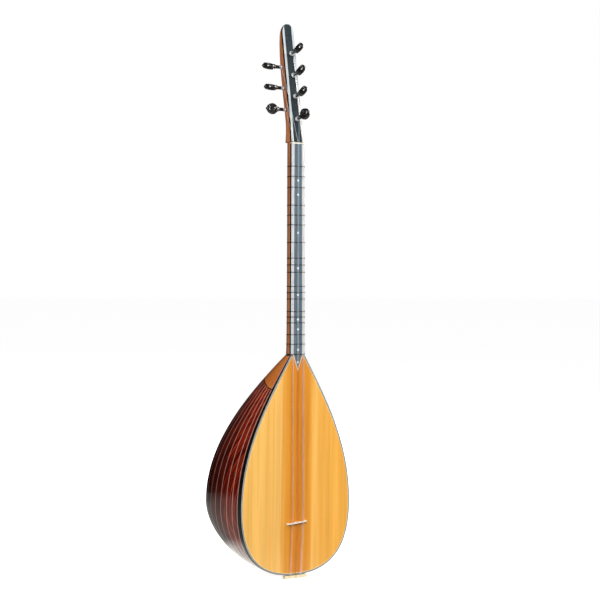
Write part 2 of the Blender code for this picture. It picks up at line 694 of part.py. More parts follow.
def bridge_outline():
    """Three feet with two arches between them, and sloping ends."""
    half, height = BRIDGE_HALF_LENGTH, BRIDGE_HEIGHT - GAP
    slope, shoulder = BRIDGE_SHOULDER
    outline = [(-half, 0.0), (-half, shoulder), (-half + slope, height), (half - slope, height),
               (half, shoulder), (half, 0.0)]
    arch_at, arch_half, arch_height = BRIDGE_ARCH
    for centre in (arch_at, -arch_at):
        for angle in range(0, 181, 30):
            x = centre + arch_half * math.cos(math.radians(angle))
            outline.append((x, arch_height * math.sin(math.radians(angle))))
    return outline


def bridge_z(x):
    """Where the skewed bridge's middle is for a string at x."""
    return -BRIDGE_AT + x * math.tan(BRIDGE_SKEW)


def make_bridge(body):
    mesh = plate("bridge", bridge_outline(), BRIDGE_THICKNESS)
    lie = Matrix.Rotation(math.pi / 2, 4, "X")
    bm = bmesh.new()
    bm.from_mesh(mesh)
    centred = Matrix.Translation((0, -BRIDGE_THICKNESS / 2, 0))
    bmesh.ops.transform(bm, matrix=lie @ centred, verts=bm.verts)
    for corner in bm.verts:
        corner.co.z *= 1 - (1 - BRIDGE_TOP_SHARE) * -corner.co.y / BRIDGE_HEIGHT
    bm.to_mesh(mesh)
    bm.free()
    bridge = add_piece("bridge", mesh, "bone", body, False)
    bridge.location = (0, -GAP, -BRIDGE_AT)
    bridge.rotation_euler = (0, -BRIDGE_SKEW, 0)


def make_string_holder(body):
    """A block under the soundboard's edge, with a slot for each string."""
    width, depth = HOLDER_SLOT
    front = [(-HOLDER_HALF_WIDTH, HOLDER_FRONT)]
    for x in STRINGS_AT_BRIDGE:
        front += [(x - width / 2, HOLDER_FRONT), (x - width / 2, HOLDER_FRONT + depth),
                  (x + width / 2, HOLDER_FRONT + depth), (x + width / 2, HOLDER_FRONT)]
    front.append((HOLDER_HALF_WIDTH, HOLDER_FRONT))
    outline = front + [(HOLDER_HALF_WIDTH, HOLDER_BACK), (-HOLDER_HALF_WIDTH, HOLDER_BACK)]
    mesh = plate("string_holder", outline, HOLDER_HEIGHT)
    bm = bmesh.new()
    bm.from_mesh(mesh)
    bmesh.ops.transform(bm, matrix=Matrix.Rotation(-math.pi / 2, 4, "X"), verts=bm.verts)
    bm.to_mesh(mesh)
    bm.free()
    holder = add_piece("string_holder", mesh, "boxwood", body, False)
    holder.location = (0, 0, -BOARD_LENGTH - GAP)


def make_strings(body, neck, head, pegs):
    """Seven strings in three courses, from the holder over bridge and nut to the pegs."""
    clear = GAP + STRING_RADIUS
    corner = 0.8 * clear   # aside from and in front of an edge, this keeps the gap
    bridge_top = -BRIDGE_HEIGHT - BRIDGE_STRING_GAP - STRING_RADIUS
    hook_z = -BOARD_LENGTH - STRING_END
    nut_z = NECK_LENGTH + GAP + NUT_PEAK * NUT_THICKNESS
    reach = PEG_RADIUS + clear
    # Peg of each string, and for the side pegs where it crosses the face's left edge
    routes = (("side_peg_1", 0.023), ("side_peg_2", 0.050), ("side_peg_3", 0.098), ("front_peg_1", None),
              ("front_peg_2", None), ("front_peg_3", None), ("front_peg_4", None))
    for number, (peg, crossing) in enumerate(routes, start=1):
        at_nut, at_bridge = STRINGS_AT_NUT[number - 1], STRINGS_AT_BRIDGE[number - 1]
        z_bridge = bridge_z(at_bridge)
        slope = (-clear - bridge_top) / (z_bridge + BOARD_LENGTH)
        hook_y = -clear + slope * STRING_END
        points = [body.matrix_world @ Vector((at_bridge, hook_y, hook_z)),
                  body.matrix_world @ Vector((at_bridge, bridge_top, z_bridge)),
                  neck.matrix_world @ Vector((at_nut, -NUT_TOP - clear, nut_z))]
        if crossing:
            x = -peghead_half_width(crossing) - corner
            points.append(head.matrix_world @ Vector((x, -corner, crossing)))
        axis = pegs[peg].to_3x3().col[2].normalized()
        forwards = head.matrix_world.to_3x3() @ Vector((0, -1, 0))
        sideways = forwards if crossing else Vector((1, 0, 0))
        points.append(pegs[peg].translation + axis * WINDING_AT + sideways * reach)
        tube(f"string_{number}", points, STRING_RADIUS)


clear_scene()
PARTS = new_collection("baglama")
CUTTERS = new_collection("cutters")
to_nut = Matrix.Rotation(-NECK_TILT, 4, "X") @ Vector((0, NECK_DEPTHS[-1][1] / 2, NECK_LENGTH))
body_datum = datum("body_datum", -to_nut)
neck_datum = datum("neck_datum", (0, 0, 0), body_datum, -NECK_TILT)
peghead_datum = datum("peghead_datum", (0, 0, NECK_LENGTH + NUT_THICKNESS + 4 * GAP), neck_datum,
                      -PEGHEAD_TILT)
bpy.context.view_layer.update()

make_bowl(body_datum)
make_soundboard(body_datum)
make_neck(neck_datum)
make_frets(neck_datum)
face, block = make_peghead(peghead_datum)
peg_places = make_pegs(peghead_datum, face, block)
make_bridge(body_datum)
make_string_holder(body_datum)
make_strings(body_datum, neck_datum, peghead_datum, peg_places)
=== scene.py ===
import math

import bmesh
import bpy
import numpy as np
from mathutils import Matrix, Vector


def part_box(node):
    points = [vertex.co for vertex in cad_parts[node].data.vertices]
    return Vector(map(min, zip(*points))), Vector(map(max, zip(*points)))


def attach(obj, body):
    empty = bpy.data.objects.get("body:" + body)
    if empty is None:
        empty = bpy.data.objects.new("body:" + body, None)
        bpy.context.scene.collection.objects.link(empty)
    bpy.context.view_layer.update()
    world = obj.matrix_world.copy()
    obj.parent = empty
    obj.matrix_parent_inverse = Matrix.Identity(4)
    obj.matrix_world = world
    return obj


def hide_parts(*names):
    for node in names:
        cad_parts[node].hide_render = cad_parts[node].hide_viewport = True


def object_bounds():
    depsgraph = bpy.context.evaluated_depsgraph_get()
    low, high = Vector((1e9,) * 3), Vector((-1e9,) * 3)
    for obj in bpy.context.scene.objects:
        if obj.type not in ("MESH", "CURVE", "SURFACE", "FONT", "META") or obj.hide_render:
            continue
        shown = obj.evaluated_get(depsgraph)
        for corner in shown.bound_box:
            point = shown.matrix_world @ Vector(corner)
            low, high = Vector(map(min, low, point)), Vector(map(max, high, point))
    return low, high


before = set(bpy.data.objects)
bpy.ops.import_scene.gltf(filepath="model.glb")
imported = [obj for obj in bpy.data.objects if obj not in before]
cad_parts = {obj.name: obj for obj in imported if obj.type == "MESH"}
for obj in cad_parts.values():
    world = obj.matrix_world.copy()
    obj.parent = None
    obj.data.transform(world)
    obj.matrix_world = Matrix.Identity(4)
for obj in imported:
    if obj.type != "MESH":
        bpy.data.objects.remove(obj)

CAD_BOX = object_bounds()

# ---------------------------------------------------------------- sizes repeated from the CAD model

SCALE_LENGTH = 0.750
NECK_LENGTH = SCALE_LENGTH * (1 - 2 ** (-14 / 12)) + 0.0016
NECK_TILT = math.radians(1.0)
PEGHEAD_TILT = math.radians(9.5)
NUT_HALF_WIDTH = 0.0153
JOINT_HALF_WIDTH = 0.0167
NECK_DEPTHS = ((0.0, 0.0312), (0.012, 0.0300), (0.040, 0.0290), (0.430, 0.0275))
NECK_ROUNDNESS = 2.4
FINGERBOARD_THICKNESS = 0.005
V_HALF_WIDTH = 0.0110
V_LENGTH = 0.032
BOARD_LENGTH = 0.437
HALF_WIDTH = 0.1288
WIDEST_AT = 0.3007
DEPTH = 0.2446
DEEPEST_AT = 0.305
WIDTH_CURVES = (
    ((JOINT_HALF_WIDTH, 0.0), (0.0764, 0.0994), (HALF_WIDTH, 0.1858), (HALF_WIDTH, WIDEST_AT)),
    ((HALF_WIDTH, WIDEST_AT), (HALF_WIDTH, 0.3886), (0.0902, BOARD_LENGTH), (0.0, BOARD_LENGTH)),
)
DEPTH_CURVES = (
    ((0.0313, 0.0), (0.1583, 0.1000), (DEPTH, 0.2050), (DEPTH, DEEPEST_AT)),
    ((DEPTH, DEEPEST_AT), (DEPTH, 0.3810), (0.0450, BOARD_LENGTH), (0.0, BOARD_LENGTH)),
)
BOWL_POWER = 2 / 2.6
BOARD_THICKNESS = 0.003
BINDING_WIDTH = 0.0045
WALL = 0.003
STAVES = 22
STAVE_GROWTH = 1.14
RIM_SHARE = 0.034
HEEL_AT_RIM, HEEL_AT_BACK, HEEL_CORNER = 0.066, 0.041, 0.25
TAIL_CAP_START = BOARD_LENGTH - 0.003
SOUND_HOLE_RADIUS = 0.0055
SOUND_HOLE_DEPTH = 0.0195
PEGHEAD_LENGTH = 0.243
PEGHEAD_HALF_WIDTH = 0.0134
PEGHEAD_WAIST = 0.045
PEGHEAD_ROUND = 0.022
PEGHEAD_DEPTHS = ((0.0, 0.0276), (0.015, 0.0242), (0.035, 0.0217), (0.060, 0.0211),
                  (0.106, 0.0224), (0.165, 0.0217), (0.190, 0.0196), (0.211, 0.0164),
                  (0.238, 0.0080))
PEGHEAD_ROUNDNESS = 8.0
NUT_THICKNESS = 0.003
NUT_TOP = 0.00105
NUT_HEIGHT = 0.00575
FRONT_PEGS = (0.0450, 0.0915, 0.1345, 0.1795)
SIDE_PEGS = (0.0680, 0.1122, 0.1552)
FRONT_PEG_RAKE = math.radians(6.0)
SIDE_PEG_DEPTH = 0.0118
FRONT_PEG_TURNS = (8, -38, -35, -38)
SIDE_PEG_TURNS = (6, 62, 58)
PEG_RADIUS = 0.0032
PEG_SHAFT_OUT = 0.018
PEG_HEAD_CENTRE = 0.0326
PEG_HEAD_HALF = (0.0110, 0.0048, 0.0122)
PEG_TIP_OUT = 0.0025
STRING_RADIUS = 0.00025
STRINGS_AT_NUT = (-0.0128, -0.0108, -0.0012, 0.0008, 0.0086, 0.0106, 0.0126)
STRINGS_AT_BRIDGE = (-0.0146, -0.0124, -0.0023, -0.0001, 0.0089, 0.0111, 0.0133)
BRIDGE_AT = SCALE_LENGTH - NECK_LENGTH
BRIDGE_HALF_LENGTH = 0.0235
BRIDGE_HEIGHT = 0.0068
BRIDGE_THICKNESS = 0.0036
BRIDGE_SKEW = math.radians(4.5)
HOLDER_HALF_WIDTH = 0.026
HOLDER_FRONT, HOLDER_BACK = -0.0015, 0.0075
HOLDER_HEIGHT = 0.0055
FRETS = (1.05, 1.55, 2.1, 3.05, 3.6, 4.15, 5.2, 6.2, 6.65, 7.15, 8.15, 8.6, 9.1, 10.1, 10.55, 11.05,
         12.1, 13, 14)
GAP = 0.0003

# ---------------------------------------------------------------- sizes of the details made here

INLAY = 0.0003                # thickness of the pearl strips
NECK_BAND = 0.0067            # their width along the fingerboard
PEGHEAD_BAND = 0.0050
V_BORDER = 0.00125
DOTS = (0.3455, 0.3174, 0.2420, 0.1717, 0.1188, 0.0703, 0.0509, 0.0101, -0.0143)
DOT_RADIUS = 0.00235
SEAM = 0.0013                 # half width of the pale line between two staves
HEEL_LINE = 0.0017            # dark line round the heel cap
NYLON = 0.00026               # radius of the fret line
RING_SPACING = 0.0016         # year rings of the soundboard
FRET_TURN = 0.00054
BOARD_JOINTS = (0.034, 0.051)
EDGE_ROUND = (0.0036, 0.0018) # how far its rounding reaches: across, back
WINDING = (0.0022, 0.0088)    # the string's turns on a peg, above the surface
BRIDGE_RAISED = 0.0009        # its crests stand this far above the CAD bridge, round the strings
BRIDGE_TAPER = 0.62           # share of its thickness lost at the top
SLOT_DEPTH = 0.0040           # of the string holder's slots
CAMERA_YAW = math.radians(33.3)
CAMERA_DISTANCE = 3.060       # from the joint

board_low, board_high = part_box("soundboard_left")
JOINT = Vector((0.0, board_low.y, board_high.z + 0.002))
BODY = Matrix.Translation(JOINT)
NECK = BODY @ Matrix.Rotation(-NECK_TILT, 4, "X")
HEAD = (NECK @ Matrix.Translation((0, 0, NECK_LENGTH + 2 * GAP + NUT_THICKNESS + 0.0006))
        @ Matrix.Rotation(-PEGHEAD_TILT, 4, "X"))


# ---------------------------------------------------------------- materials

class Finish:
    """A Principled material and short names for the nodes that drive it."""

    def __init__(self, name, **sockets):
        self.material = bpy.data.materials.new(name)
        self.material.use_nodes = True
        self.tree = self.material.node_tree
        self.shader = self.tree.nodes["Principled BSDF"]
        for socket, value in sockets.items():
            self.shader.inputs[socket.replace("_", " ")].default_value = value

    def node(self, kind, inputs=(), **settings):
        made = self.tree.nodes.new(kind)
        for key, value in settings.items():
            setattr(made, key, value)
        for key, value in dict(inputs).items():
            if isinstance(value, bpy.types.NodeSocket):
                self.tree.links.new(value, made.inputs[key])
            else:
                made.inputs[key].default_value = value
        return made

    def place(self, scale, source="Object"):
        """Coordinates in metres times a scale: the piece's own, or those along its grain."""
        if source == "Object":
            at = self.node("ShaderNodeTexCoord").outputs["Object"]
        else:
            at = self.node("ShaderNodeAttribute", attribute_name=source).outputs["Vector"]
        return self.node("ShaderNodeMapping", {"Vector": at, "Scale": scale}).outputs[0]

    def axis(self, index, scale=1):
        """One coordinate of a point, times a scale."""
        return self.node("ShaderNodeSeparateXYZ", {0: self.place((scale,) * 3)}).outputs[index]

    def noise(self, place, detail=3.0, distortion=0.0):
        made = self.node("ShaderNodeTexNoise", {"Vector": place, "Scale": 1.0, "Detail": detail,
                                                "Roughness": 0.55, "Distortion": distortion})
        return made.outputs["Fac"]

    def maths(self, operation, a, b=0.0, c=0.0, clamp=False):
        made = self.node("ShaderNodeMath", {0: a, 1: b, 2: c}, operation=operation, use_clamp=clamp)
        return made.outputs[0]

    def weighed(self, *parts):
        """A sum of values, each with its weight."""
        products = [self.maths("MULTIPLY", value, weight) for value, weight in parts]
        total = products[0]
        for product in products[1:]:
            total = self.maths("ADD", total, product)
        return total

    def ramp(self, value, stops):
        made = self.node("ShaderNodeValToRGB", {"Fac": value})
        ramp = made.color_ramp
        while len(ramp.elements) < len(stops):
            ramp.elements.new(1.0)
        for element, (position, colour) in zip(ramp.elements, stops):
            element.position = position
            element.color = (*colour, 1.0) if hasattr(colour, "__len__") else (colour,) * 3 + (1.0,)
        return made.outputs["Color"]

    def mix(self, share, a, b, blend="MIX"):
        made = self.node("ShaderNodeMix", data_type="RGBA", blend_type=blend)
        for socket, value in ((made.inputs[0], share), (made.inputs[6], a), (made.inputs[7], b)):
            if isinstance(value, bpy.types.NodeSocket):
                self.tree.links.new(value, socket)
            else:
                socket.default_value = (*value, 1.0) if hasattr(value, "__len__") else value
        return made.outputs[2]

    def tinted(self, colour, value, stops):
        return self.mix(1.0, colour, self.ramp(value, stops), "MULTIPLY")

    def give(self, socket, value):
        self.tree.links.new(value, self.shader.inputs[socket])

    def bump(self, height, distance, strength=1.0):
        made = self.node("ShaderNodeBump", {"Height": height, "Distance": distance,
                                            "Strength": strength})
        self.give("Normal", made.outputs[0])

    def roughness(self, value, low, high):
        made = self.node("ShaderNodeMapRange", {0: value, 1: 0.3, 2: 0.7, 3: low, 4: high})
        self.give("Roughness", made.outputs[0])

    def finished(self, colour):
        self.give("Base Color", colour)
        return self.material


def make_rosewood():
    f = Finish("rosewood", Coat_Weight=0.9, Coat_Roughness=0.03, Specular_IOR_Level=0.08)
    streak = f.noise(f.place((230, 1, 7), "grain"), 4.0, 0.35)
    fine = f.noise(f.place((1500, 1, 26), "grain"), 3.0)
    wood = f.ramp(f.weighed((streak, 0.68), (fine, 0.32)), (
        (0.39, (0.032, 0.0012, 0.0006)), (0.50, (0.170, 0.0065, 0.0022)), (0.61, (0.760, 0.0760, 0.0210))))
    tone = f.node("ShaderNodeAttribute", attribute_name="tone").outputs["Fac"]
    wood = f.tinted(wood, tone, ((0.0, (0.62, 0.60, 0.60)), (1.0, (1.45, 1.40, 1.30))))
    # Painted light and shade: lighter near the rim and darker towards the bowl's back, standing in for how
    # the light falls off round the bowl
    wood = f.tinted(wood, f.axis(1, 4), ((0.04, (1.50, 1.45, 1.40)), (0.20, (0.76, 0.62, 0.54)),
                                         (0.38, (0.38, 0.22, 0.18)), (0.80, (0.30, 0.18, 0.15))))
    pores = f.noise(f.place((2900, 1, 85), "grain"), 2.0)
    wood = f.mix(f.ramp(pores, ((0.60, 0.0), (0.70, 0.75))), wood, (0.010, 0.0012, 0.0010))
    f.roughness(fine, 0.30, 0.45)
    f.bump(pores, 0.00005)
    return f.finished(wood)


def make_spacer():
    f = Finish("spacer_wood", Coat_Weight=1.0, Coat_Roughness=0.05)
    streak = f.noise(f.place((900, 1, 40), "grain"), 3.0)
    f.roughness(streak, 0.3, 0.45)
    return f.finished(f.ramp(streak, ((0.35, (0.82, 0.36, 0.27)), (0.65, (0.98, 0.50, 0.39)))))


def make_ebony(name="ebony", tint=(0.0075, 0.0080, 0.0085), source="Object", gain=2.3):
    f = Finish(name, Specular_IOR_Level=0.25)
    fibre = f.noise(f.place((1500, 1500, 30), source), 4.0)
    figure = f.noise(f.place((190, 190, 7), source), 3.0)
    light = tuple(c * gain for c in tint)
    f.roughness(fibre, 0.20, 0.34)
    f.bump(fibre, 0.00004, 0.6)
    return f.finished(f.ramp(f.weighed((fibre, 0.6), (figure, 0.4)), ((0.38, tint), (0.66, light))))


def make_neck_wood():
    f = Finish("neck_wood", Coat_Weight=0.6, Coat_Roughness=0.12)
    figure = f.noise(f.place((150, 150, 5)), 4.0, 0.4)
    fibre = f.noise(f.place((1700, 1700, 34)), 3.0)
    wood = f.ramp(f.weighed((figure, 0.6), (fibre, 0.4)), (
        (0.36, (0.52, 0.165, 0.066)), (0.50, (0.80, 0.285, 0.125)), (0.64, (0.98, 0.430, 0.210))))
    pores = f.noise(f.place((3000, 3000, 90)), 2.0)
    wood = f.mix(f.ramp(pores, ((0.62, 0.0), (0.72, 0.6))), wood, (0.09, 0.028, 0.012))
    f.roughness(fibre, 0.30, 0.45)
    f.bump(pores, 0.00005)
    return f.finished(wood)


def make_heel_wood():
    f = Finish("heel_wood", Coat_Weight=1.0, Coat_Roughness=0.05)
    curl = f.noise(f.place((70, 1, 260), "grain"), 2.0, 1.2)
    fibre = f.noise(f.place((1300, 1, 60), "grain"), 4.0)
    figure = f.noise(f.place((160, 1, 22), "grain"), 3.0, 0.6)
    f.roughness(fibre, 0.28, 0.42)
    f.bump(fibre, 0.00003)
    return f.finished(f.ramp(f.weighed((curl, 0.40), (fibre, 0.25), (figure, 0.35)), (
        (0.36, (0.95, 0.190, 0.026)), (0.50, (1.00, 0.290, 0.052)), (0.64, (1.00, 0.430, 0.105)))))


def make_block_wood():
    f = Finish("block_wood")
    fibre = f.noise(f.place((900, 900, 40)), 4.0)
    f.roughness(fibre, 0.55, 0.75)
    f.bump(fibre, 0.0001)
    return f.finished(f.ramp(fibre, ((0.35, (0.42, 0.25, 0.11)), (0.65, (0.60, 0.40, 0.21)))))


def make_spruce():
    """Boards that darken to orange-brown at the middle, with close straight year rings."""
    f = Finish("spruce", Coat_Weight=0.35, Coat_Roughness=0.16, Specular_IOR_Level=0.2)
    x = f.axis(0)
    wander = f.noise(f.place((26, 1, 3)), 2.0)
    across = f.maths("MULTIPLY_ADD", wander, 0.010, f.maths("ABSOLUTE", x))
    zone = f.maths("DIVIDE", across, 0.14)
    wood = f.ramp(zone, ((0.03, (0.66, 0.210, 0.013)), (0.12, (0.70, 0.250, 0.020)),
                         (0.20, (0.76, 0.300, 0.026)), (0.285, (0.88, 0.410, 0.062)),
                         (0.300, (0.97, 0.530, 0.125)), (0.40, (0.96, 0.530, 0.120)),
                         (0.415, (0.92, 0.470, 0.090)), (0.70, (0.96, 0.520, 0.105)),
                         (1.0, (0.95, 0.490, 0.090))))
    # Painted sheen: the left half paler and bluer than the right one, the right half warmer
    half = f.maths("MULTIPLY_ADD", x, 1 / 0.26, 0.5, clamp=True)
    wood = f.tinted(wood, half, ((0.22, (1.02, 1.09, 1.35)), (0.52, (1.0, 1.0, 1.0)),
                                 (0.85, (1.0, 0.92, 0.76))))
    # Year rings: a sine across the board, its spacing and strength wandering
    drift = f.noise(f.place((55, 1, 1.6)), 2.0)
    phase = f.weighed((x, 2 * math.pi / RING_SPACING), (drift, 26.0))
    ring = f.maths("POWER", f.maths("MULTIPLY_ADD", f.maths("SINE", phase), 0.5, 0.5), 3.0)
    rings = f.maths("MULTIPLY", ring, f.noise(f.place((90, 1, 5)), 2.0))
    wood = f.mix(f.maths("MULTIPLY", rings, 0.75), wood, (0.55, 0.205, 0.030))
    broad = f.noise(f.place((95, 1, 2.2)), 3.0)
    wood = f.tinted(wood, broad, ((0.30, (0.86, 0.83, 0.76)), (0.70, (1.10, 1.12, 1.18))))
    silk = f.noise(f.place((420, 1, 900)), 2.0)
    wood = f.tinted(wood, silk, ((0.40, (0.97, 0.97, 0.96)), (0.68, (1.05, 1.06, 1.08))))
    f.roughness(ring, 0.34, 0.46)
    f.bump(ring, 0.00002)
    return f.finished(wood)


def make_pearl(name, level):
    f = Finish(name, Coat_Weight=0.7, Coat_Roughness=0.06)
    at = f.place((120, 120, 95))
    warp = f.node("ShaderNodeTexNoise", {"Vector": f.place((60, 60, 50)), "Scale": 1.0, "Detail": 2.0})
    moved = f.node("ShaderNodeVectorMath", {0: at, 1: warp.outputs["Color"]}, operation="ADD")
    cells = f.node("ShaderNodeTexVoronoi", {"Vector": moved.outputs[0], "Scale": 1.0,
                                            "Smoothness": 0.6}, feature="SMOOTH_F1")
    layers = f.noise(f.place((420, 420, 130)), 3.0, 1.5)
    hue = f.weighed((cells.outputs["Distance"], 0.6), (layers, 0.5))
    stops = ((0.25, (0.72, 0.80, 0.85)), (0.42, (0.58, 0.68, 0.75)), (0.52, (0.77, 0.77, 0.81)),
             (0.64, (0.66, 0.76, 0.75)), (0.80, (0.80, 0.84, 0.88)))
    f.roughness(layers, 0.16, 0.30)
    return f.finished(f.ramp(hue, [(p, tuple(c * level for c in rgb)) for p, rgb in stops]))


def make_bone():
    f = Finish("bone", Coat_Weight=0.3, Coat_Roughness=0.15, Subsurface_Weight=0.08)
    f.shader.inputs["Subsurface Radius"].default_value = (0.002, 0.0015, 0.001)
    f.shader.inputs["Subsurface Scale"].default_value = 0.5
    mottle = f.noise(f.place((220, 220, 220)), 4.0)
    fleck = f.noise(f.place((1800, 1800, 700)), 2.0)
    colour = f.ramp(mottle, ((0.35, (0.84, 0.78, 0.66)), (0.65, (0.93, 0.90, 0.82))))
    f.roughness(mottle, 0.25, 0.40)
    return f.finished(f.mix(f.ramp(fleck, ((0.60, 0.0), (0.72, 0.35))), colour, (0.62, 0.52, 0.38)))


def make_boxwood():
    f = Finish("boxwood", Coat_Weight=0.4, Coat_Roughness=0.15)
    fibre = f.noise(f.place((60, 900, 900)), 4.0)
    figure = f.noise(f.place((18, 160, 160)), 2.0, 0.5)
    f.roughness(fibre, 0.32, 0.46)
    f.bump(fibre, 0.00004)
    return f.finished(f.ramp(f.weighed((fibre, 0.5), (figure, 0.5)),
                             ((0.36, (0.93, 0.76, 0.44)), (0.64, (1.00, 0.90, 0.62)))))


def make_peg_black():
    f = Finish("peg_black", Coat_Weight=1.0, Coat_Roughness=0.11, Coat_IOR=1.9, Specular_IOR_Level=0.15)
    fibre = f.noise(f.place((900, 900, 900)), 3.0)
    wear = f.noise(f.place((260, 260, 260)), 3.0)
    f.roughness(fibre, 0.22, 0.34)
    return f.finished(f.ramp(wear, ((0.35, (0.0045, 0.0040, 0.0042)), (0.70, (0.016, 0.0135, 0.0125)))))


def make_steel(name, colour, turns=None, metallic=1.0, upper=None):
    """Plain wire, or wire with fine windings at so many a metre along Z.

    Above the joint it may have another colour.
    """
    f = Finish(name, Metallic=metallic)
    patina = f.noise(f.place((300, 300, 40)), 3.0)
    dull = tuple(c * 0.86 for c in colour)
    shown = f.ramp(patina, ((0.35, dull), (0.62, colour)))
    if upper:
        shown = f.mix(f.maths("MULTIPLY_ADD", f.axis(2), 20.0, 9.0, clamp=True), shown, upper)
    f.roughness(patina, 0.30, 0.44)
    if turns:
        f.bump(f.maths("SINE", f.maths("MULTIPLY", f.axis(2), 2 * math.pi * turns)), 0.00006)
    return f.finished(shown)


def make_nylon():
    f = Finish("nylon", Specular_IOR_Level=0.6)
    cloud = f.noise(f.place((500, 500, 500)), 3.0)
    f.roughness(cloud, 0.18, 0.32)
    return f.finished(f.ramp(cloud, ((0.35, (0.020, 0.017, 0.014)), (0.65, (0.055, 0.046, 0.036)))))


ROSEWOOD = make_rosewood()
SPACER = make_spacer()
EBONY = make_ebony()
# Fingerboard: the ebony's own dark figure, lifted to a blue-grey that is painted reflection, standing in for
# the sheen the board shows
FINGERBOARD = make_ebony("fingerboard_ebony_painted_sheen", (0.088, 0.115, 0.138), gain=1.75)
PEGHEAD_FACE = make_ebony("peghead_ebony", (0.019, 0.027, 0.032), gain=2.0)
RIM_BLACK = make_ebony("rim_black", (0.0065, 0.0035, 0.0030), "grain")
NECK_WOOD = make_neck_wood()
HEEL_WOOD = make_heel_wood()
BLOCK_WOOD = make_block_wood()
SPRUCE = make_spruce()
PEARL = make_pearl("pearl", 0.91)
DOT_PEARL = make_pearl("dot_pearl", 1.25)
PEGHEAD_PEARL = make_pearl("peghead_pearl", 0.80)
BINDING_PEARL = make_pearl("binding_pearl", 0.55)
BONE = make_bone()
BOXWOOD = make_boxwood()
PEG_BLACK = make_peg_black()
STEEL = make_steel("steel", (0.96, 0.90, 0.86), metallic=0.6)
BRONZE = make_steel("bronze", (0.72, 0.33, 0.075), 4200, 0.25, (0.72, 0.86, 1.0))
WINDING_STEEL = make_steel("winding_steel", (0.95, 0.95, 0.96), metallic=0.5)
WOUND = make_steel("wound_string", (0.95, 0.76, 0.68), 3200, 0.6)
NYLON_LINE = make_nylon()


# ---------------------------------------------------------------- mesh helpers

def linked(name, data):
    made = bpy.data.objects.new(name, data)
    bpy.context.scene.collection.objects.link(made)
    return made


def turned_outward(mesh):
    bm = bmesh.new()
    bm.from_mesh(mesh)
    bmesh.ops.recalc_face_normals(bm, faces=bm.faces)
    bm.to_mesh(mesh)
    bm.free()


def smoothed(mesh, angle=35):
    mesh.shade_smooth()
    mesh.set_sharp_from_angle(angle=math.radians(angle))


def piece(name, points, faces, finish, slot, where=BODY, body="root", replaces=(), angle=35,
          grain=None, tone=None):
    """A named closed mesh: points in the local frame `where`, faces as lists of indices."""
    points = np.asarray(points, float)
    turn = np.array(where.to_3x3())
    world = points @ turn.T + np.array(where.translation)
    mesh = bpy.data.meshes.new(name)
    mesh.from_pydata(world.tolist(), [], faces)
    turned_outward(mesh)
    smoothed(mesh, angle)
    if grain is not None:
        layer = mesh.attributes.new("grain", "FLOAT_VECTOR", "POINT")
        layer.data.foreach_set("vector", np.asarray(grain, np.float32).ravel())
    if tone is not None:
        layer = mesh.attributes.new("tone", "FLOAT", "POINT")
        layer.data.foreach_set("value", np.full(len(points), tone, np.float32))
    mesh.materials.append(finish)
    made = linked(name, mesh)
    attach(made, body)
    if replaces:
        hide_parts(*replaces)
    return made


def ring_faces(rings, count, first=0, closed=False):
    """Quads between rings of `count` points, with flat ends unless the row of rings closes."""
    faces = []
    for i in range(rings if closed else rings - 1):
        k = (i + 1) % rings
        for j in range(count):
            n = (j + 1) % count
            faces.append([first + i * count + j, first + i * count + n,
                          first + k * count + n, first + k * count + j])
    if not closed:
        faces.append([first + j for j in range(count)][::-1])
        faces.append([first + (rings - 1) * count + j for j in range(count)])
    return faces


def loft(name, rings, *finish, **options):
    points = np.concatenate([np.asarray(ring, float) for ring in rings])
    return piece(name, points, ring_faces(len(rings), len(rings[0])), *finish, **options)


def prism(name, outline, front, back, *finish, **options):
    """A flat plate: an outline in x and z between two values of y."""
    rings = [[(x, y, z) for x, z in outline] for y in (front, back)]
    return loft(name, rings, *finish, **options)


def revolved(profile, steps):
    """Points and faces of a turned solid: (radius, height) from one pole to the other."""
    points = [(0.0, 0.0, profile[0][1])]
    for radius, height in profile[1:-1]:
        points += circle(radius, steps, height)
    points.append((0.0, 0.0, profile[-1][1]))
    rings = len(profile) - 2
    faces = ring_faces(rings, steps, first=1)[:-2]
    last = len(points) - 1
    for j in range(steps):
        n = (j + 1) % steps
        faces.append([0, 1 + n, 1 + j])
        faces.append([last, 1 + (rings - 1) * steps + j, 1 + (rings - 1) * steps + n])
    return points, faces


def tube_points(path, radius, sides=8, closed=False):
    """Points and faces of a round tube along a path, its section carried without twist."""
    path = np.asarray(path, float)
    if closed:
        runs = np.roll(path, -1, 0) - np.roll(path, 1, 0)
    else:
        runs = np.gradient(path, axis=0)
    runs /= np.linalg.norm(runs, axis=1)[:, None]
    side = np.cross(runs[0], (0.3, 0.2, 0.9))
    side /= np.linalg.norm(side)
    points = []
    for place, run in zip(path, runs):
        side = side - run * side.dot(run)
        side /= np.linalg.norm(side)
        up = np.cross(run, side)
        for k in range(sides):
            a = 2 * math.pi * k / sides
            points.append(place + radius * (math.cos(a) * side + math.sin(a) * up))
    return points, ring_faces(len(path), sides, closed=closed)


def joined(parts):
    """Several sets of points and faces as one."""
    points, faces = [], []
    for more, shapes in parts:
        faces += [[i + len(points) for i in face] for face in shapes]
        points += list(more)
    return points, faces


def bevel(made, width):
    step = made.modifiers.new("rounded_edges", "BEVEL")
    step.width, step.segments = width, 2
    step.limit_method, step.angle_limit = "ANGLE", math.radians(40)
    step.harden_normals = False


def cut(made, tools, operation="DIFFERENCE"):
    """Applies a Boolean with each tool's (points, faces) in world space."""
    for points, faces in tools:
        mesh = bpy.data.meshes.new("tool")
        mesh.from_pydata([tuple(p) for p in points], [], faces)
        turned_outward(mesh)
        tool = linked("tool", mesh)
        step = made.modifiers.new("cut", "BOOLEAN")
        step.operation, step.solver, step.object = operation, "EXACT", tool
        bpy.context.view_layer.update()
        graph = bpy.context.evaluated_depsgraph_get()
        result = bpy.data.meshes.new_from_object(made.evaluated_get(graph), depsgraph=graph)
        made.modifiers.clear()
        old = made.data
        made.data = result
        result.name = made.name
        bpy.data.meshes.remove(old)
        bpy.data.objects.remove(tool, do_unlink=True)
        bpy.data.meshes.remove(mesh)
    smoothed(made.data)


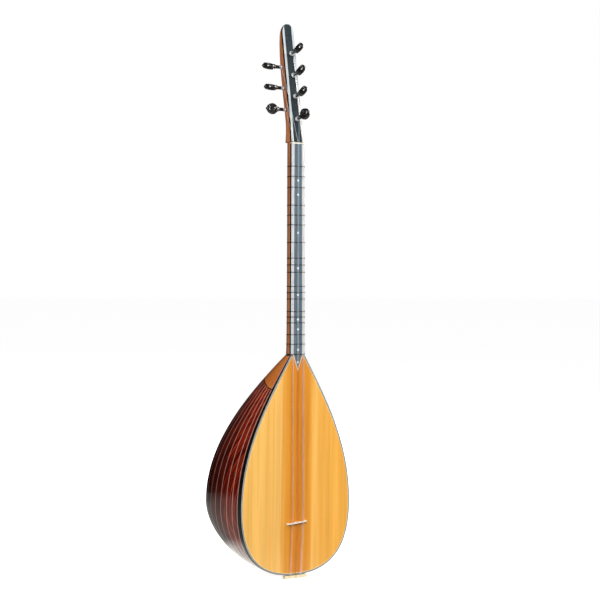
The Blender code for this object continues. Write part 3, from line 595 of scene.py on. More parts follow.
def circle(radius, steps, z=0.0):
    return [(radius * math.cos(a), radius * math.sin(a), z)
            for a in np.linspace(0, 2 * math.pi, steps, endpoint=False)]


def cylinder(matrix, radius, low, high, steps=32):
    """World points and faces of a cylinder along a matrix's Z, for cutting."""
    points = [matrix @ Vector(p) for z in (low, high) for p in circle(radius, steps, z)]
    return points, ring_faces(2, steps)


def smooth_value(table, z):
    """A smooth curve through a table's points, without overshoot."""
    xs = np.array([row[0] for row in table])
    ys = np.array([row[1] for row in table])
    slopes = np.diff(ys) / np.diff(xs)
    ends = np.concatenate([[slopes[0]], (slopes[:-1] + slopes[1:]) / 2, [slopes[-1]]])
    i = int(np.clip(np.searchsorted(xs, z) - 1, 0, len(xs) - 2))
    h = xs[i + 1] - xs[i]
    t = float(np.clip((z - xs[i]) / h, 0, 1))
    return ((2 * t ** 3 - 3 * t ** 2 + 1) * ys[i] + (t ** 3 - 2 * t ** 2 + t) * h * ends[i]
            + (3 * t ** 2 - 2 * t ** 3) * ys[i + 1] + (t ** 3 - t ** 2) * h * ends[i + 1])


# ---------------------------------------------------------------- bowl

def bezier(curve, t):
    a, b, c, d = (np.array(p) for p in curve)
    return (1 - t) ** 3 * a + 3 * (1 - t) ** 2 * t * b + 3 * (1 - t) * t ** 2 * c + t ** 3 * d


def curve_table(curves):
    t = np.linspace(0, 1, 400)[:, None]
    upper, lower = (bezier(curve, t) for curve in curves)
    return np.concatenate([upper, lower[1:]])


WIDTHS = curve_table(WIDTH_CURVES)
DEPTHS = curve_table(DEPTH_CURVES)
QUARTER = (1 - np.cos(np.linspace(0, math.pi, 181))) * math.pi / 4
ACROSS = np.clip(np.cos(QUARTER), 0, 1) ** BOWL_POWER
BACKWARDS = np.sin(QUARTER) ** BOWL_POWER
RIM_TOP = BOARD_THICKNESS + GAP


def bowl_section(s):
    """The right half of the cross section at s below the joint, from the rim to the back's middle."""
    x = np.interp(s, WIDTHS[:, 1], WIDTHS[:, 0]) * ACROSS
    depth = max(np.interp(s, DEPTHS[:, 1], DEPTHS[:, 0]) - RIM_TOP, 0.0)
    y = RIM_TOP + depth * BACKWARDS
    return x, y, np.concatenate([[0], np.cumsum(np.hypot(np.diff(x), np.diff(y)))])


def bowl_surface(s, v):
    """v is -1 at the left rim, 0 at the back's middle and 1 at the right rim."""
    x, y, length = bowl_section(s)
    reach = (1 - abs(v)) * length[-1]
    side = -1 if v < 0 else 1
    return np.array((side * np.interp(reach, length, x), np.interp(reach, length, y), -s))


def bowl_point(s, v):
    """A point of the outer surface and its outward normal."""
    s = min(s, BOARD_LENGTH - 2e-5)
    place = bowl_surface(s, v)
    step = min(0.0008, (BOARD_LENGTH - s) / 2)
    v_step = 0.0012 / max(bowl_section(s)[2][-1], 0.0012)
    along = bowl_surface(s + step, v) - bowl_surface(s - step, v)
    round_it = bowl_surface(s, min(v + v_step, 1.0)) - bowl_surface(s, max(v - v_step, -1.0))
    normal = np.cross(along, round_it)
    normal /= np.linalg.norm(normal)
    if normal.dot((place[0], place[1] - 0.03, -s + 0.20)) < 0:
        normal = -normal
    if abs(v) == 1.0:
        normal[1] = 0.0
        normal /= np.linalg.norm(normal)
    return place, normal


def half_girth(s):
    return bowl_section(min(s, BOARD_LENGTH - 2e-5))[2][-1]


def bowl_piece(name, v_low, v_high, start, end, columns, rows, finish, slot, number=0, tone=0.5,
               replaces=()):
    """A piece of the bowl's wall. v_low, v_high, start and end are functions of s, s, v and v."""
    outer, inner, normals, grain = [], [], [], []
    for i in range(rows + 1):
        for j in range(columns + 1):
            share = j / columns
            v = v_low(WIDEST_AT) + (v_high(WIDEST_AT) - v_low(WIDEST_AT)) * share
            first, last = (math.sqrt(max(BOARD_LENGTH - limit(v), 0.0)) for limit in (start, end))
            s = BOARD_LENGTH - (first + (last - first) * i / rows) ** 2
            v = v_low(s) + (v_high(s) - v_low(s)) * share
            place, normal = bowl_point(s, v)
            outer.append(place)
            inner.append(place - normal * WALL)
            normals.append(normal)
            grain.append((v * half_girth(s) + 0.37 * number, 0.0, s))
    wide = columns + 1
    count = len(outer)
    faces = []
    for i in range(rows):
        for j in range(columns):
            a = i * wide + j
            faces.append([a, a + 1, a + wide + 1, a + wide])
    shown = len(faces)
    faces += [[count + i for i in reversed(face)] for face in faces[:shown]]
    border = list(range(wide)) + [i * wide + columns for i in range(1, rows + 1)]
    border += [rows * wide + j for j in range(columns - 1, -1, -1)]
    border += [i * wide for i in range(rows - 1, 0, -1)]
    for a, b in zip(border, border[1:] + border[:1]):
        faces.append([a, a + count, b + count, b])
    made = piece(name, outer + inner, faces, finish, slot, grain=grain + grain, tone=tone,
                 angle=50, replaces=replaces)
    # The pieces share the surface's own normals, so that the lacquer reads as one skin over them
    mesh = made.data
    owner = np.zeros(len(mesh.loops), int)
    mesh.loops.foreach_get("vertex_index", owner)
    corners = np.zeros((len(mesh.loops), 3))
    for polygon in mesh.polygons[:shown]:
        for k in polygon.loop_indices:
            corners[k] = normals[owner[k]]
    mesh.normals_split_custom_set(corners.tolist())
    return made


def heel_edge(v):
    inwards = (1 - abs(v)) ** 2
    return HEEL_AT_RIM - (HEEL_AT_RIM - HEEL_AT_BACK) * (1 + HEEL_CORNER) * inwards / (inwards + HEEL_CORNER)


def make_bowl():
    half = STAVES // 2
    rim = 1 - RIM_SHARE
    right = [rim * (1 - (k / half) ** STAVE_GROWTH) for k in range(half + 1)]
    seams = [-v for v in right] + right[-2::-1]
    rng = np.random.default_rng(7)
    tones = rng.permutation(np.linspace(0.05, 0.95, STAVES))

    def beside(v, side):
        """Where a piece stops beside a seam's pale line."""
        return lambda s: v + side * SEAM / max(half_girth(s), 0.004)

    def top(v):
        return heel_edge(v) + HEEL_LINE

    def fixed(value):
        return lambda _: value

    tail = fixed(TAIL_CAP_START)
    for k in range(STAVES):
        bowl_piece(f"stave_{k + 1:02d}", beside(seams[k], 1), beside(seams[k + 1], -1), top, tail,
                   5, 60, ROSEWOOD, "rosewood", k, tones[k],
                   replaces=(f"stave_pair_{k // 2 + 1:02d}",))
    for k, v in enumerate(seams):
        bowl_piece(f"stave_line_{k + 1:02d}", beside(v, -1), beside(v, 1), top, tail, 1, 60, SPACER,
                   "boxwood", k)
    for name, low, high in (("left", fixed(-1.0), beside(-rim, -1)), ("right", beside(rim, 1), fixed(1.0))):
        bowl_piece(f"rim_band_{name}_shell", low, high, fixed(GAP), tail, 3, 72,
                   RIM_BLACK, "ebony", replaces=(f"rim_band_{name}",))
    bowl_piece("heel_line_lower", fixed(-rim), fixed(rim), heel_edge, top, 60, 1, RIM_BLACK, "ebony")
    bowl_piece("heel_cap_shell", beside(-rim, 1), beside(rim, -1), fixed(HEEL_LINE),
               heel_edge, 60, 16, HEEL_WOOD, "heel_wood", replaces=("heel_cap",))
    bowl_piece("heel_line_upper", fixed(-rim), fixed(rim), fixed(GAP), fixed(HEEL_LINE), 60, 1,
               RIM_BLACK, "ebony")
    for name, v in (("left", -rim), ("right", rim)):
        bowl_piece(f"heel_line_{name}", beside(v, -1), beside(v, 1), fixed(GAP), heel_edge, 1, 16,
                   SPACER, "boxwood")
    cap = bowl_piece("tail_cap_shell", fixed(-1.0), fixed(1.0), tail, fixed(BOARD_LENGTH - 3e-5), 96, 14,
                     ROSEWOOD, "rosewood", 40, 0.4, replaces=("tail_cap",))
    hole = BODY @ Matrix.Translation((0, SOUND_HOLE_DEPTH, -BOARD_LENGTH))
    cut(cap, [cylinder(hole, SOUND_HOLE_RADIUS, -0.04, 0.04, 48)])
    points, faces = revolved_ring(SOUND_HOLE_RADIUS - 0.0006, SOUND_HOLE_RADIUS + 0.0016, -0.0035,
                                  0.0004)
    piece("sound_hole_ring", points, faces, RIM_BLACK, "ebony",
          where=hole @ Matrix.Rotation(math.pi, 4, "X"), grain=points)


def revolved_ring(inside, outside, low, high, steps=48):
    """A flat ring with rounded upper edges."""
    soft = 0.0003
    profile = ((inside, low), (outside, low), (outside, high - soft), (outside - soft, high),
               (inside + soft, high), (inside, high - soft))
    points = []
    for a in np.linspace(0, 2 * math.pi, steps, endpoint=False):
        points += [(r * math.cos(a), r * math.sin(a), z) for r, z in profile]
    return points, ring_faces(steps, len(profile), closed=True)


# ---------------------------------------------------------------- soundboard

def board_edge(inset):
    """The soundboard's right edge from the joint to the tail, moved inwards."""
    points = []
    for curve in WIDTH_CURVES:
        a, b, c, d = (np.array(p) for p in curve)
        for t in np.linspace(0, 1, 90)[(1 if points else 0):]:
            place = bezier(curve, t)
            slope = (1 - t) ** 2 * (b - a) + 2 * (1 - t) * t * (c - b) + t ** 2 * (d - c)
            slope = slope / np.linalg.norm(slope)
            points.append((place[0] - inset * slope[1], -(place[1] + inset * slope[0])))
    points[-1] = (0.0, points[-1][1])
    return np.array(points)


def board_ends(x, edge, widest):
    """Where the edge's upper and lower branches lie at x."""
    upper, lower = edge[:widest + 1], edge[widest:]
    high = np.interp(x, upper[:, 0], upper[:, 1])
    low = np.interp(x, lower[::-1, 0], lower[::-1, 1])
    return high, low


def make_soundboard():
    edge = board_edge(BINDING_WIDTH)
    widest = int(np.argmax(edge[:, 0]))
    limit = edge[widest, 0]
    cuts = (0.0, *BOARD_JOINTS, limit)
    for side, hand in ((-1, "left"), (1, "right")):
        for first, last, part in zip(cuts, cuts[1:], ("centre", "inner", "outer")):
            ease = np.linspace(0, 1, 40)
            if part == "outer":
                ease = 1 - (1 - ease) ** 2
            xs = first + (last - first) * ease
            if part == "centre":
                xs = np.unique(np.concatenate([xs, [V_HALF_WIDTH], np.linspace(0.0108, 0.0175, 12)]))
            rings = []
            for x in xs:
                high, low = board_ends(x, edge, widest)
                if x < V_HALF_WIDTH:
                    high = -V_LENGTH + x * V_LENGTH / V_HALF_WIDTH
                high = min(high, -GAP)
                low = min(low, high - 1e-5)
                rings.append([(side * x, 0.0, high), (side * x, 0.0, low),
                              (side * x, BOARD_THICKNESS, low), (side * x, BOARD_THICKNESS, high)])
            loft(f"soundboard_{part}_{hand}", rings, SPRUCE, "spruce",
                 replaces=(f"soundboard_{hand}",))
    # Four strips whose front is one long quarter of an ellipse, from the side into the flat
    layers = (("edge_line_outer", 0.0, 0.0011, RIM_BLACK, "ebony"),
              ("edge_pearl", 0.0011, 0.0027, BINDING_PEARL, "pearl"),
              ("edge_line_inner", 0.0027, 0.0036, RIM_BLACK, "ebony"),
              ("edge_line_pale", 0.0036, BINDING_WIDTH, BOXWOOD, "boxwood"))
    for name, near, far, finish, slot in layers:
        across = np.linspace(near, far, 7)
        into = np.clip(1 - across / EDGE_ROUND[0], 0, 1)
        front = EDGE_ROUND[1] * (1 - np.sqrt(1 - into ** 2))
        section = [(near, BOARD_THICKNESS), *zip(across, front), (far, BOARD_THICKNESS)]
        edges = [board_edge(u) for u, _ in section]
        rows = [[(e[k, 0], y, min(e[k, 1], -GAP)) for e, (_, y) in zip(edges, section)]
                for k in range(len(edges[0]))]
        rings = rows + [[(-x, y, z) for x, y, z in row] for row in rows[-2::-1]]
        grain = [p for ring in rings for p in ring]
        loft(name, rings, finish, slot, grain=grain, angle=45,
             replaces=("edge_binding",) if name == "edge_pearl" else ())


# ---------------------------------------------------------------- neck

def neck_half_width(z):
    return JOINT_HALF_WIDTH + (NUT_HALF_WIDTH - JOINT_HALF_WIDTH) * z / NECK_LENGTH


def d_section(half_width, front, back, roundness, columns):
    """A D-shaped section from the left front corner round the back to the right one."""
    points = []
    for j in range(columns + 1):
        turn = math.pi * (1 - math.cos(math.pi * j / columns)) / 2
        x = -math.copysign(abs(math.cos(turn)) ** (2 / roundness), math.cos(turn)) * half_width
        points.append((x, front + (back - front) * abs(math.sin(turn)) ** (2 / roundness)))
    points[0], points[-1] = (-half_width, front), (half_width, front)
    return points


def neck_section(z, columns=56):
    return d_section(neck_half_width(z), FINGERBOARD_THICKNESS, smooth_value(NECK_DEPTHS, z),
                     NECK_ROUNDNESS, columns)


def bar(name, sections, *finish, **options):
    """A straight strip through (z, x from, x to, y from, y to), its front corners eased."""
    rings = []
    for z, x0, x1, y0, y1 in sections:
        e = min(0.00018, (y1 - y0) * 0.3)
        rings.append([(x0, y1, z), (x0, y0 + e, z), (x0 + e, y0, z), (x1 - e, y0, z), (x1, y0 + e, z),
                      (x1, y1, z)])
    return loft(name, rings, *finish, **options)


def make_neck():
    top = NECK_LENGTH + GAP + NUT_THICKNESS + GAP
    veneer = 0.0014
    lift = math.tan(NECK_TILT)
    heights = np.concatenate([[veneer], np.linspace(0.004, 0.048, 12), np.linspace(0.06, top, 16)])
    rings = [[(x, y, z + y * lift * (z == veneer)) for x, y in neck_section(z)] for z in heights]
    loft("neck_shaft", rings, NECK_WOOD, "neck_wood", where=NECK, replaces=("neck",))
    rings = [[(x, y, z + y * lift) for x, y in neck_section(z)] for z in (GAP, veneer)]
    loft("neck_joint_line", rings, EBONY, "ebony", where=NECK)

    ends = [(z, neck_half_width(z), neck_half_width(z) - NECK_BAND) for z in (GAP, NECK_LENGTH)]
    for part, sections, finish, slot, replaces in (
            ("core", [(z, -w, w, INLAY, FINGERBOARD_THICKNESS) for z, w, c in ends], EBONY, "ebony",
             ("fingerboard",)),
            ("centre", [(z, -c, c, 0.0, INLAY) for z, w, c in ends], FINGERBOARD, "ebony", ()),
            ("band_left", [(z, -w, -c, 0.0, INLAY) for z, w, c in ends], PEARL, "pearl", ()),
            ("band_right", [(z, c, w, 0.0, INLAY) for z, w, c in ends], PEARL, "pearl", ())):
        bar(f"fingerboard_{part}", sections, finish, slot, where=NECK, replaces=replaces)
    inner = V_HALF_WIDTH - V_BORDER
    reach = V_LENGTH * inner / V_HALF_WIDTH
    top = -0.0001
    prism("fingerboard_point", [(-inner, top), (0, -reach), (inner, top)], 0.0, BOARD_THICKNESS,
          FINGERBOARD, "ebony")
    for side, hand in ((-1, "left"), (1, "right")):
        outline = [(side * inner, top), (0, -reach), (0, -V_LENGTH), (side * V_HALF_WIDTH, top)]
        prism(f"point_border_{hand}", outline, 0.0, BOARD_THICKNESS, BONE, "bone")
    for number, z in enumerate(DOTS, start=1):
        datum = NECK if z > 0 else BODY
        at = datum @ Matrix.Translation((0, 0, z)) @ Matrix.Rotation(math.pi / 2, 4, "X")
        profile = [(0.0, 0.00007), (DOT_RADIUS * 0.8, 0.00007), (DOT_RADIUS - 0.0001, 0.00005),
                   (DOT_RADIUS, 0.0), (DOT_RADIUS, -0.0006), (0.0, -0.0006)]
        points, faces = revolved(profile, 28)
        piece(f"position_dot_{number}", points, faces, DOT_PEARL, "pearl", where=at)

    # The nut, with a notch for each string
    raised = -NUT_TOP - 0.0005
    profile = [(-NUT_HALF_WIDTH, NUT_HEIGHT - NUT_TOP), (-NUT_HALF_WIDTH, raised + 0.0006),
               (-NUT_HALF_WIDTH + 0.0006, raised)]
    for x in STRINGS_AT_NUT:
        profile += [(x - 0.00036, raised), (x - 0.00030, raised + 0.00035), (x, raised + 0.00052),
                    (x + 0.00030, raised + 0.00035), (x + 0.00036, raised)]
    profile += [(NUT_HALF_WIDTH - 0.0006, raised), (NUT_HALF_WIDTH, raised + 0.0006),
                (NUT_HALF_WIDTH, NUT_HEIGHT - NUT_TOP)]
    rings = []
    low = NECK_LENGTH + GAP
    for share, drop in ((0.0, 0.0004), (0.12, 0.0001), (0.3, 0.0), (0.6, 0.0001), (0.85, 0.0006),
                        (1.0, 0.0013)):
        z = low + NUT_THICKNESS * share
        rings.append([(x, min(y + drop, NUT_HEIGHT - NUT_TOP), z) for x, y in profile])
    loft("nut_notched", rings, BONE, "bone", where=NECK, replaces=("nut",), angle=40)


def wrap_path(z, away):
    """A closed path round neck and fingerboard, held `away` from them."""
    w = neck_half_width(z)
    path = [(x, -away, z) for x in np.linspace(-w, w, 12)]
    path += [(w + away * math.sin(a), -away * math.cos(a), z) for a in np.radians((22, 45, 68, 90))]
    back = np.array(neck_section(z, 48)[::-1])
    run = np.gradient(back, axis=0)
    run /= np.linalg.norm(run, axis=1)[:, None]
    for (x, y), (dx, dy) in list(zip(back, run))[1:-1]:
        path.append((x + away * dy, y - away * dx, z))
    path += [(-w - away * math.sin(a), -away * math.cos(a), z) for a in np.radians((90, 68, 45, 22))]
    return path


def make_frets():
    for number, semitones in enumerate(FRETS, start=1):
        z = NECK_LENGTH - SCALE_LENGTH * (1 - 2 ** (-semitones / 12))
        parts = [tube_points(wrap_path(z + k * FRET_TURN, NYLON + 0.00003), NYLON, 8, True)
                 for k in (-1, 0, 1)]
        # A knot on the bass side, over the three turns, with two cut tails
        w = neck_half_width(z) + NYLON
        y = 0.0042
        for shift, lean in ((-0.0003, 1), (0.0003, -1)):
            path = []
            for t in np.linspace(-1, 1, 13):
                bulge = math.cos(t * math.pi / 2)
                path.append((-w - 2.05 * NYLON * bulge, y + shift + lean * 0.0004 * t,
                             z + t * FRET_TURN * 1.75))
            parts.append(tube_points(path, NYLON, 8))
        loop = [(-w - 3.2 * NYLON * (0.75 + 0.25 * math.cos(a)), y + 0.0007 * math.cos(a),
                 z + 0.0006 * math.sin(a)) for a in np.linspace(0, 2 * math.pi, 20, endpoint=False)]
        parts.append(tube_points(loop, NYLON * 0.95, 8, True))
        for end in (-1, 1):
            tail = [(-w - 2.4 * NYLON - 0.0001 * k, y + 0.0004 * end + 0.0003 * end * k,
                     z + end * (0.0004 + 0.0003 * k)) for k in range(4)]
            parts.append(tube_points(tail, NYLON * 0.9, 8))
        points, faces = joined(parts)
        piece(f"tied_fret_{number:02d}", points, faces, NYLON_LINE, "nylon", where=NECK,
              replaces=(f"fret_{number:02d}",), angle=60)


# ---------------------------------------------------------------- peghead and pegs

def peghead_half_width(z):
    if z < PEGHEAD_WAIST:
        share = z / PEGHEAD_WAIST
        ease = share * share * (3 - 2 * share)
        return NUT_HALF_WIDTH + (PEGHEAD_HALF_WIDTH - NUT_HALF_WIDTH) * ease
    into = max(z - (PEGHEAD_LENGTH - PEGHEAD_ROUND), 0.0) / PEGHEAD_ROUND
    return PEGHEAD_HALF_WIDTH * max(1 - into ** 2.2, 0.0) ** 0.5


def peg_matrix(place, direction, turn):
    z = direction.normalized()
    x = (Vector((0, 0, 1)) - z.z * z).normalized()
    frame_3 = Matrix((x, z.cross(x), z)).transposed().to_4x4()
    return HEAD @ Matrix.Translation(place) @ frame_3 @ Matrix.Rotation(math.radians(turn), 4, "Z")


def peg_places():
    """Each peg's name, its matrix in world space and its length inside the peghead."""
    rake = Vector((0, -math.cos(FRONT_PEG_RAKE), math.sin(FRONT_PEG_RAKE)))
    for number, (z, turn) in enumerate(zip(FRONT_PEGS, FRONT_PEG_TURNS), start=1):
        inside = float(np.interp(z, *zip(*PEGHEAD_DEPTHS))) + PEG_TIP_OUT
        yield f"front_peg_{number}", peg_matrix(Vector((0, 0, z)), rake, turn), inside
    for number, (z, turn) in enumerate(zip(SIDE_PEGS, SIDE_PEG_TURNS), start=1):
        place = Vector((-PEGHEAD_HALF_WIDTH, SIDE_PEG_DEPTH, z))
        yield (f"side_peg_{number}", peg_matrix(place, Vector((-1, 0, 0)), turn),
               2 * PEGHEAD_HALF_WIDTH + PEG_TIP_OUT)


def make_peghead(pegs):
    bores = [cylinder(matrix, PEG_RADIUS + 0.0003, -0.045, 0.03) for _, matrix, _ in pegs]
    front_bores = bores[:len(FRONT_PEGS)]
    turn = np.radians(np.linspace(0, 88, 22))
    straight = np.concatenate([[GAP], np.linspace(0.004, PEGHEAD_WAIST, 12),
                               np.linspace(0.06, PEGHEAD_LENGTH - PEGHEAD_ROUND, 14)])
    heights = np.concatenate([straight, PEGHEAD_LENGTH - PEGHEAD_ROUND * np.cos(turn[1:])])
    inner = PEGHEAD_HALF_WIDTH - PEGHEAD_BAND

    def band_edge(z):
        if z < PEGHEAD_WAIST:
            return peghead_half_width(z) - PEGHEAD_BAND
        return inner

    widths = [(z, peghead_half_width(z), min(band_edge(z), peghead_half_width(z))) for z in heights]
    core = bar("peghead_veneer", [(z, -w, w, INLAY, FINGERBOARD_THICKNESS) for z, w, c in widths],
               RIM_BLACK, "ebony", where=HEAD, replaces=("peghead_overlay",))
    cut(core, front_bores)
    centre = bar("peghead_centre", [(z, -c, c, 0.0, INLAY) for z, w, c in widths], PEGHEAD_FACE,
                 "ebony", where=HEAD)
    cut(centre, front_bores)
    banded = [row for row in widths if row[1] > inner + 0.0004]
    for hand, sections in (("left", [(z, -w, -c, 0.0, INLAY) for z, w, c in banded]),
                           ("right", [(z, c, w, 0.0, INLAY) for z, w, c in banded])):
        bar(f"peghead_band_{hand}", sections, PEGHEAD_PEARL, "pearl", where=HEAD)

    lean = math.tan(PEGHEAD_TILT)
    rings = []
    levels = np.concatenate([[0.0], np.linspace(0.004, 0.060, 18), np.linspace(0.070, 0.16, 10),
                             np.linspace(0.165, 0.2405, 30)])
    for z in levels:
        depth = smooth_value(PEGHEAD_DEPTHS, z)
        if z > 0.232:
            depth = max(depth - (z - 0.232) * 0.14, 0.0056)
        section = d_section(peghead_half_width(z) - 0.0001, FINGERBOARD_THICKNESS, depth,
                            PEGHEAD_ROUNDNESS, 44)
        rings.append([(x, y, z + GAP * (z == 0) + y * lean * (z == 0)) for x, y in section])
    wood = loft("peghead_wood", rings, NECK_WOOD, "neck_wood", where=HEAD, replaces=("peghead",))
    cut(wood, bores)


def peg_head_points():
    """The carved oval head: thick near its rim, with a round dish in each face."""
    half_x, half_y, half_z = PEG_HEAD_HALF
    steps = 40
    radii = (0.12, 0.26, 0.38, 0.48, 0.56, 0.62, 0.68, 0.74, 0.80, 0.86, 0.91, 0.95, 0.98)
    levels = (0.20, 0.22, 0.28, 0.40, 0.56, 0.74, 0.90, 0.98, 1.0, 0.965, 0.87, 0.72, 0.48)
    turn = np.linspace(0, 2 * math.pi, steps, endpoint=False)
    rings = []
    for side in (1, -1):
        order = list(zip(radii, levels))
        for r, level in (order if side > 0 else order[::-1]):
            rings.append([(half_x * r * math.cos(a), side * half_y * level, half_z * r * math.sin(a))
                          for a in turn])
        if side > 0:
            rings.append([(half_x * math.cos(a), 0.0, half_z * math.sin(a)) for a in turn])
    points = [p for ring in rings for p in ring]
    faces = ring_faces(len(rings), steps)[:-2]
    front, back = len(points), len(points) + 1
    floor = half_y * 0.195
    points += [(0, floor, 0), (0, -floor, 0)]
    last = (len(rings) - 1) * steps
    for j in range(steps):
        n = (j + 1) % steps
        faces += [[front, n, j], [back, last + j, last + n]]
    return [(x, y, z + PEG_HEAD_CENTRE) for x, y, z in points], faces


def make_pegs(pegs):
    end = PEG_HEAD_CENTRE + PEG_HEAD_HALF[2]
    out = PEG_SHAFT_OUT
    across = PEG_RADIUS + STRING_RADIUS
    for name, matrix, inside in pegs:
        profile = [(0.0, end + 0.0027), (0.0012, end + 0.0026), (0.0022, end + 0.0020),
                   (0.0028, end + 0.0008), (0.0027, end - 0.0002), (0.0019, end - 0.0013),
                   (0.0018, end - 0.004), (0.0020, out + 0.0080), (0.0036, out + 0.0045),
                   (0.0039, out + 0.0033), (0.0047, out + 0.0025), (0.0050, out + 0.0016),
                   (0.0047, out + 0.0007), (0.0038, out), (0.0035, out - 0.0015),
                   (0.0034, out - 0.0050), (PEG_RADIUS, out - 0.0090), (PEG_RADIUS, -0.001),
                   (PEG_RADIUS - 0.0003, 0.0007 - inside), (PEG_RADIUS - 0.0009, -inside),
                   (0.0, -inside)]
        points, faces = revolved(profile, 32)
        peg = piece(f"{name}_carved", points, faces, PEG_BLACK, "peg_black", where=matrix,
                    body=name, replaces=(name,))
        head, shapes = peg_head_points()
        cut(peg, [([matrix @ Vector(p) for p in head], shapes)], "UNION")
        # The string's turns on the shaft, which turn with the peg
        low, high = WINDING
        turns = 7
        coil = []
        for t in np.linspace(0, 1, turns * 18):
            a = 2 * math.pi * turns * t
            coil.append((across * math.cos(a), across * math.sin(a), low + (high - low) * t))
        parts = [tube_points(coil, STRING_RADIUS, 6)]
        layers = ((0.0008, 0.70), (0.0016, 0.45)) if name.startswith("front") else ()
        for layer, (start, share) in enumerate(layers, start=1):
            wider = 1 + layer * 2 * STRING_RADIUS / across
            over = [(wider * x, wider * y, low + start + (z - low) * share) for x, y, z in coil]
            parts.append(tube_points(over, STRING_RADIUS, 6))
        points, faces = joined(parts)
        piece(f"{name}_winding", points, faces, WINDING_STEEL, "steel", where=matrix, body=name, angle=60)


# ---------------------------------------------------------------- bridge, string holder, strings

def make_bridge():
    half, height = BRIDGE_HALF_LENGTH, BRIDGE_HEIGHT + BRIDGE_RAISED
    outline = [(-half, 0.0), (-half, 0.0020), (-half + 0.0012, 0.0034), (-half + 0.0038, height - 0.0012),
               (-half + 0.0046, height - 0.0003), (-half + 0.0056, height)]
    for x in STRINGS_AT_BRIDGE:
        x = x / math.cos(BRIDGE_SKEW)
        outline += [(x - 0.00042, height), (x - 0.00036, height - 0.0005), (x, height - 0.00078),
                    (x + 0.00036, height - 0.0005), (x + 0.00042, height)]
    outline += [(half - 0.0056, height), (half - 0.0046, height - 0.0003),
                (half - 0.0038, height - 0.0012), (half - 0.0012, 0.0034), (half, 0.0020), (half, 0.0)]
    for centre in (0.0115, -0.0115):
        for a in np.radians(range(0, 181, 12)):
            outline.append((centre + 0.0075 * math.cos(a), 0.0030 * math.sin(a)))
    at = BODY @ Matrix.Translation((0, -0.0002, -BRIDGE_AT)) @ Matrix.Rotation(-BRIDGE_SKEW, 4, "Y")
    rings = []
    for side in (-1, 1):
        rings.append([(x, -h, side * BRIDGE_THICKNESS * (1 - BRIDGE_TAPER * h / height) / 2)
                      for x, h in outline])
    bridge = loft("bridge_carved", rings, BONE, "bone", where=at, body="bridge", replaces=("bridge",))
    bevel(bridge, 0.00018)
    # A dark strip along its lower side, a painted shadow: it stands in for the bridge's shadow on the
    # soundboard
    low, high = -BRIDGE_THICKNESS / 2 - 0.0019, -BRIDGE_THICKNESS / 2 + 0.0006
    rings = [[(x, -0.0002, z) for z in (low, high)] + [(x, -0.0013, z) for z in (high, low + 0.0004)]
             for x in (-half + 0.0050, half - 0.0015)]
    loft("bridge_shadow_strip", rings, RIM_BLACK, "ebony", where=at, body="bridge", grain=rings[0] + rings[1])


def make_string_holder():
    bottom = HOLDER_FRONT + SLOT_DEPTH
    outline = [(-HOLDER_HALF_WIDTH, HOLDER_FRONT)]
    for x in STRINGS_AT_BRIDGE:
        outline += [(x - 0.0006, HOLDER_FRONT), (x - 0.0006, bottom - 0.0004), (x, bottom),
                    (x + 0.0006, bottom - 0.0004), (x + 0.0006, HOLDER_FRONT)]
    outline += [(HOLDER_HALF_WIDTH, HOLDER_FRONT), (HOLDER_HALF_WIDTH, HOLDER_BACK),
                (-HOLDER_HALF_WIDTH, HOLDER_BACK)]
    high = -BOARD_LENGTH - GAP
    rings = [[(x, y, z) for x, y in outline] for z in (high, high - HOLDER_HEIGHT)]
    block = loft("string_block", rings, BOXWOOD, "boxwood", replaces=("string_holder",))
    bevel(block, 0.00030)
    # Each string ends in a twisted loop round a pin across its slot
    for number, x in enumerate(STRINGS_AT_BRIDGE, start=1):
        y, z = -0.0002, high - HOLDER_HEIGHT + 0.0038
        loop = [(x, y + 0.0011 * math.cos(a), z - 0.0014 + 0.0014 * math.sin(a))
                for a in np.linspace(0, 2 * math.pi, 24, endpoint=False)]
        parts = [tube_points(loop, STRING_RADIUS, 6, True)]
        twist = [(x + 0.00028 * math.cos(a), y + 0.00028 * math.sin(a), z + 0.0030 * a / 25)
                 for a in np.linspace(0, 25, 60)]
        parts.append(tube_points(twist, STRING_RADIUS * 0.8, 6))
        points, faces = joined(parts)
        piece(f"string_loop_{number}", points, faces, STEEL, "steel", angle=60)


def finish_cad_nodes():
    """The CAD pieces that stay: the strings and the blocks inside the bowl."""
    finishes = {"neck_block": BLOCK_WOOD, "tail_block": BLOCK_WOOD}
    for number in range(1, len(STRINGS_AT_NUT) + 1):
        finish = WOUND if number in (1, 5) else BRONZE if number in (3, 4) else STEEL
        finishes[f"string_{number}"] = finish
    for name, finish in finishes.items():
        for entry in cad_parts[name].material_slots:
            entry.material = finish


# ---------------------------------------------------------------- camera, floor and light

def make_camera():
    lean = Matrix.Rotation(-math.radians(1.1), 4, "X")
    ahead = Vector((math.sin(CAMERA_YAW), math.cos(CAMERA_YAW), 0))
    right = Vector((math.cos(CAMERA_YAW), -math.sin(CAMERA_YAW), 0))
    up = Vector((0, 0, 1))
    place = lean @ (ahead * -CAMERA_DISTANCE + right * 0.00396 + up * 0.1089) + JOINT
    data = bpy.data.cameras.new("camera")
    data.lens, data.sensor_width = 92.73, 36.0
    data.clip_start, data.clip_end = 0.05, 60.0
    camera = linked("camera", data)
    turn = Matrix((right, up, -ahead)).transposed().to_4x4()
    camera.matrix_world = Matrix.Translation(place) @ lean @ turn
    bpy.context.scene.camera = camera


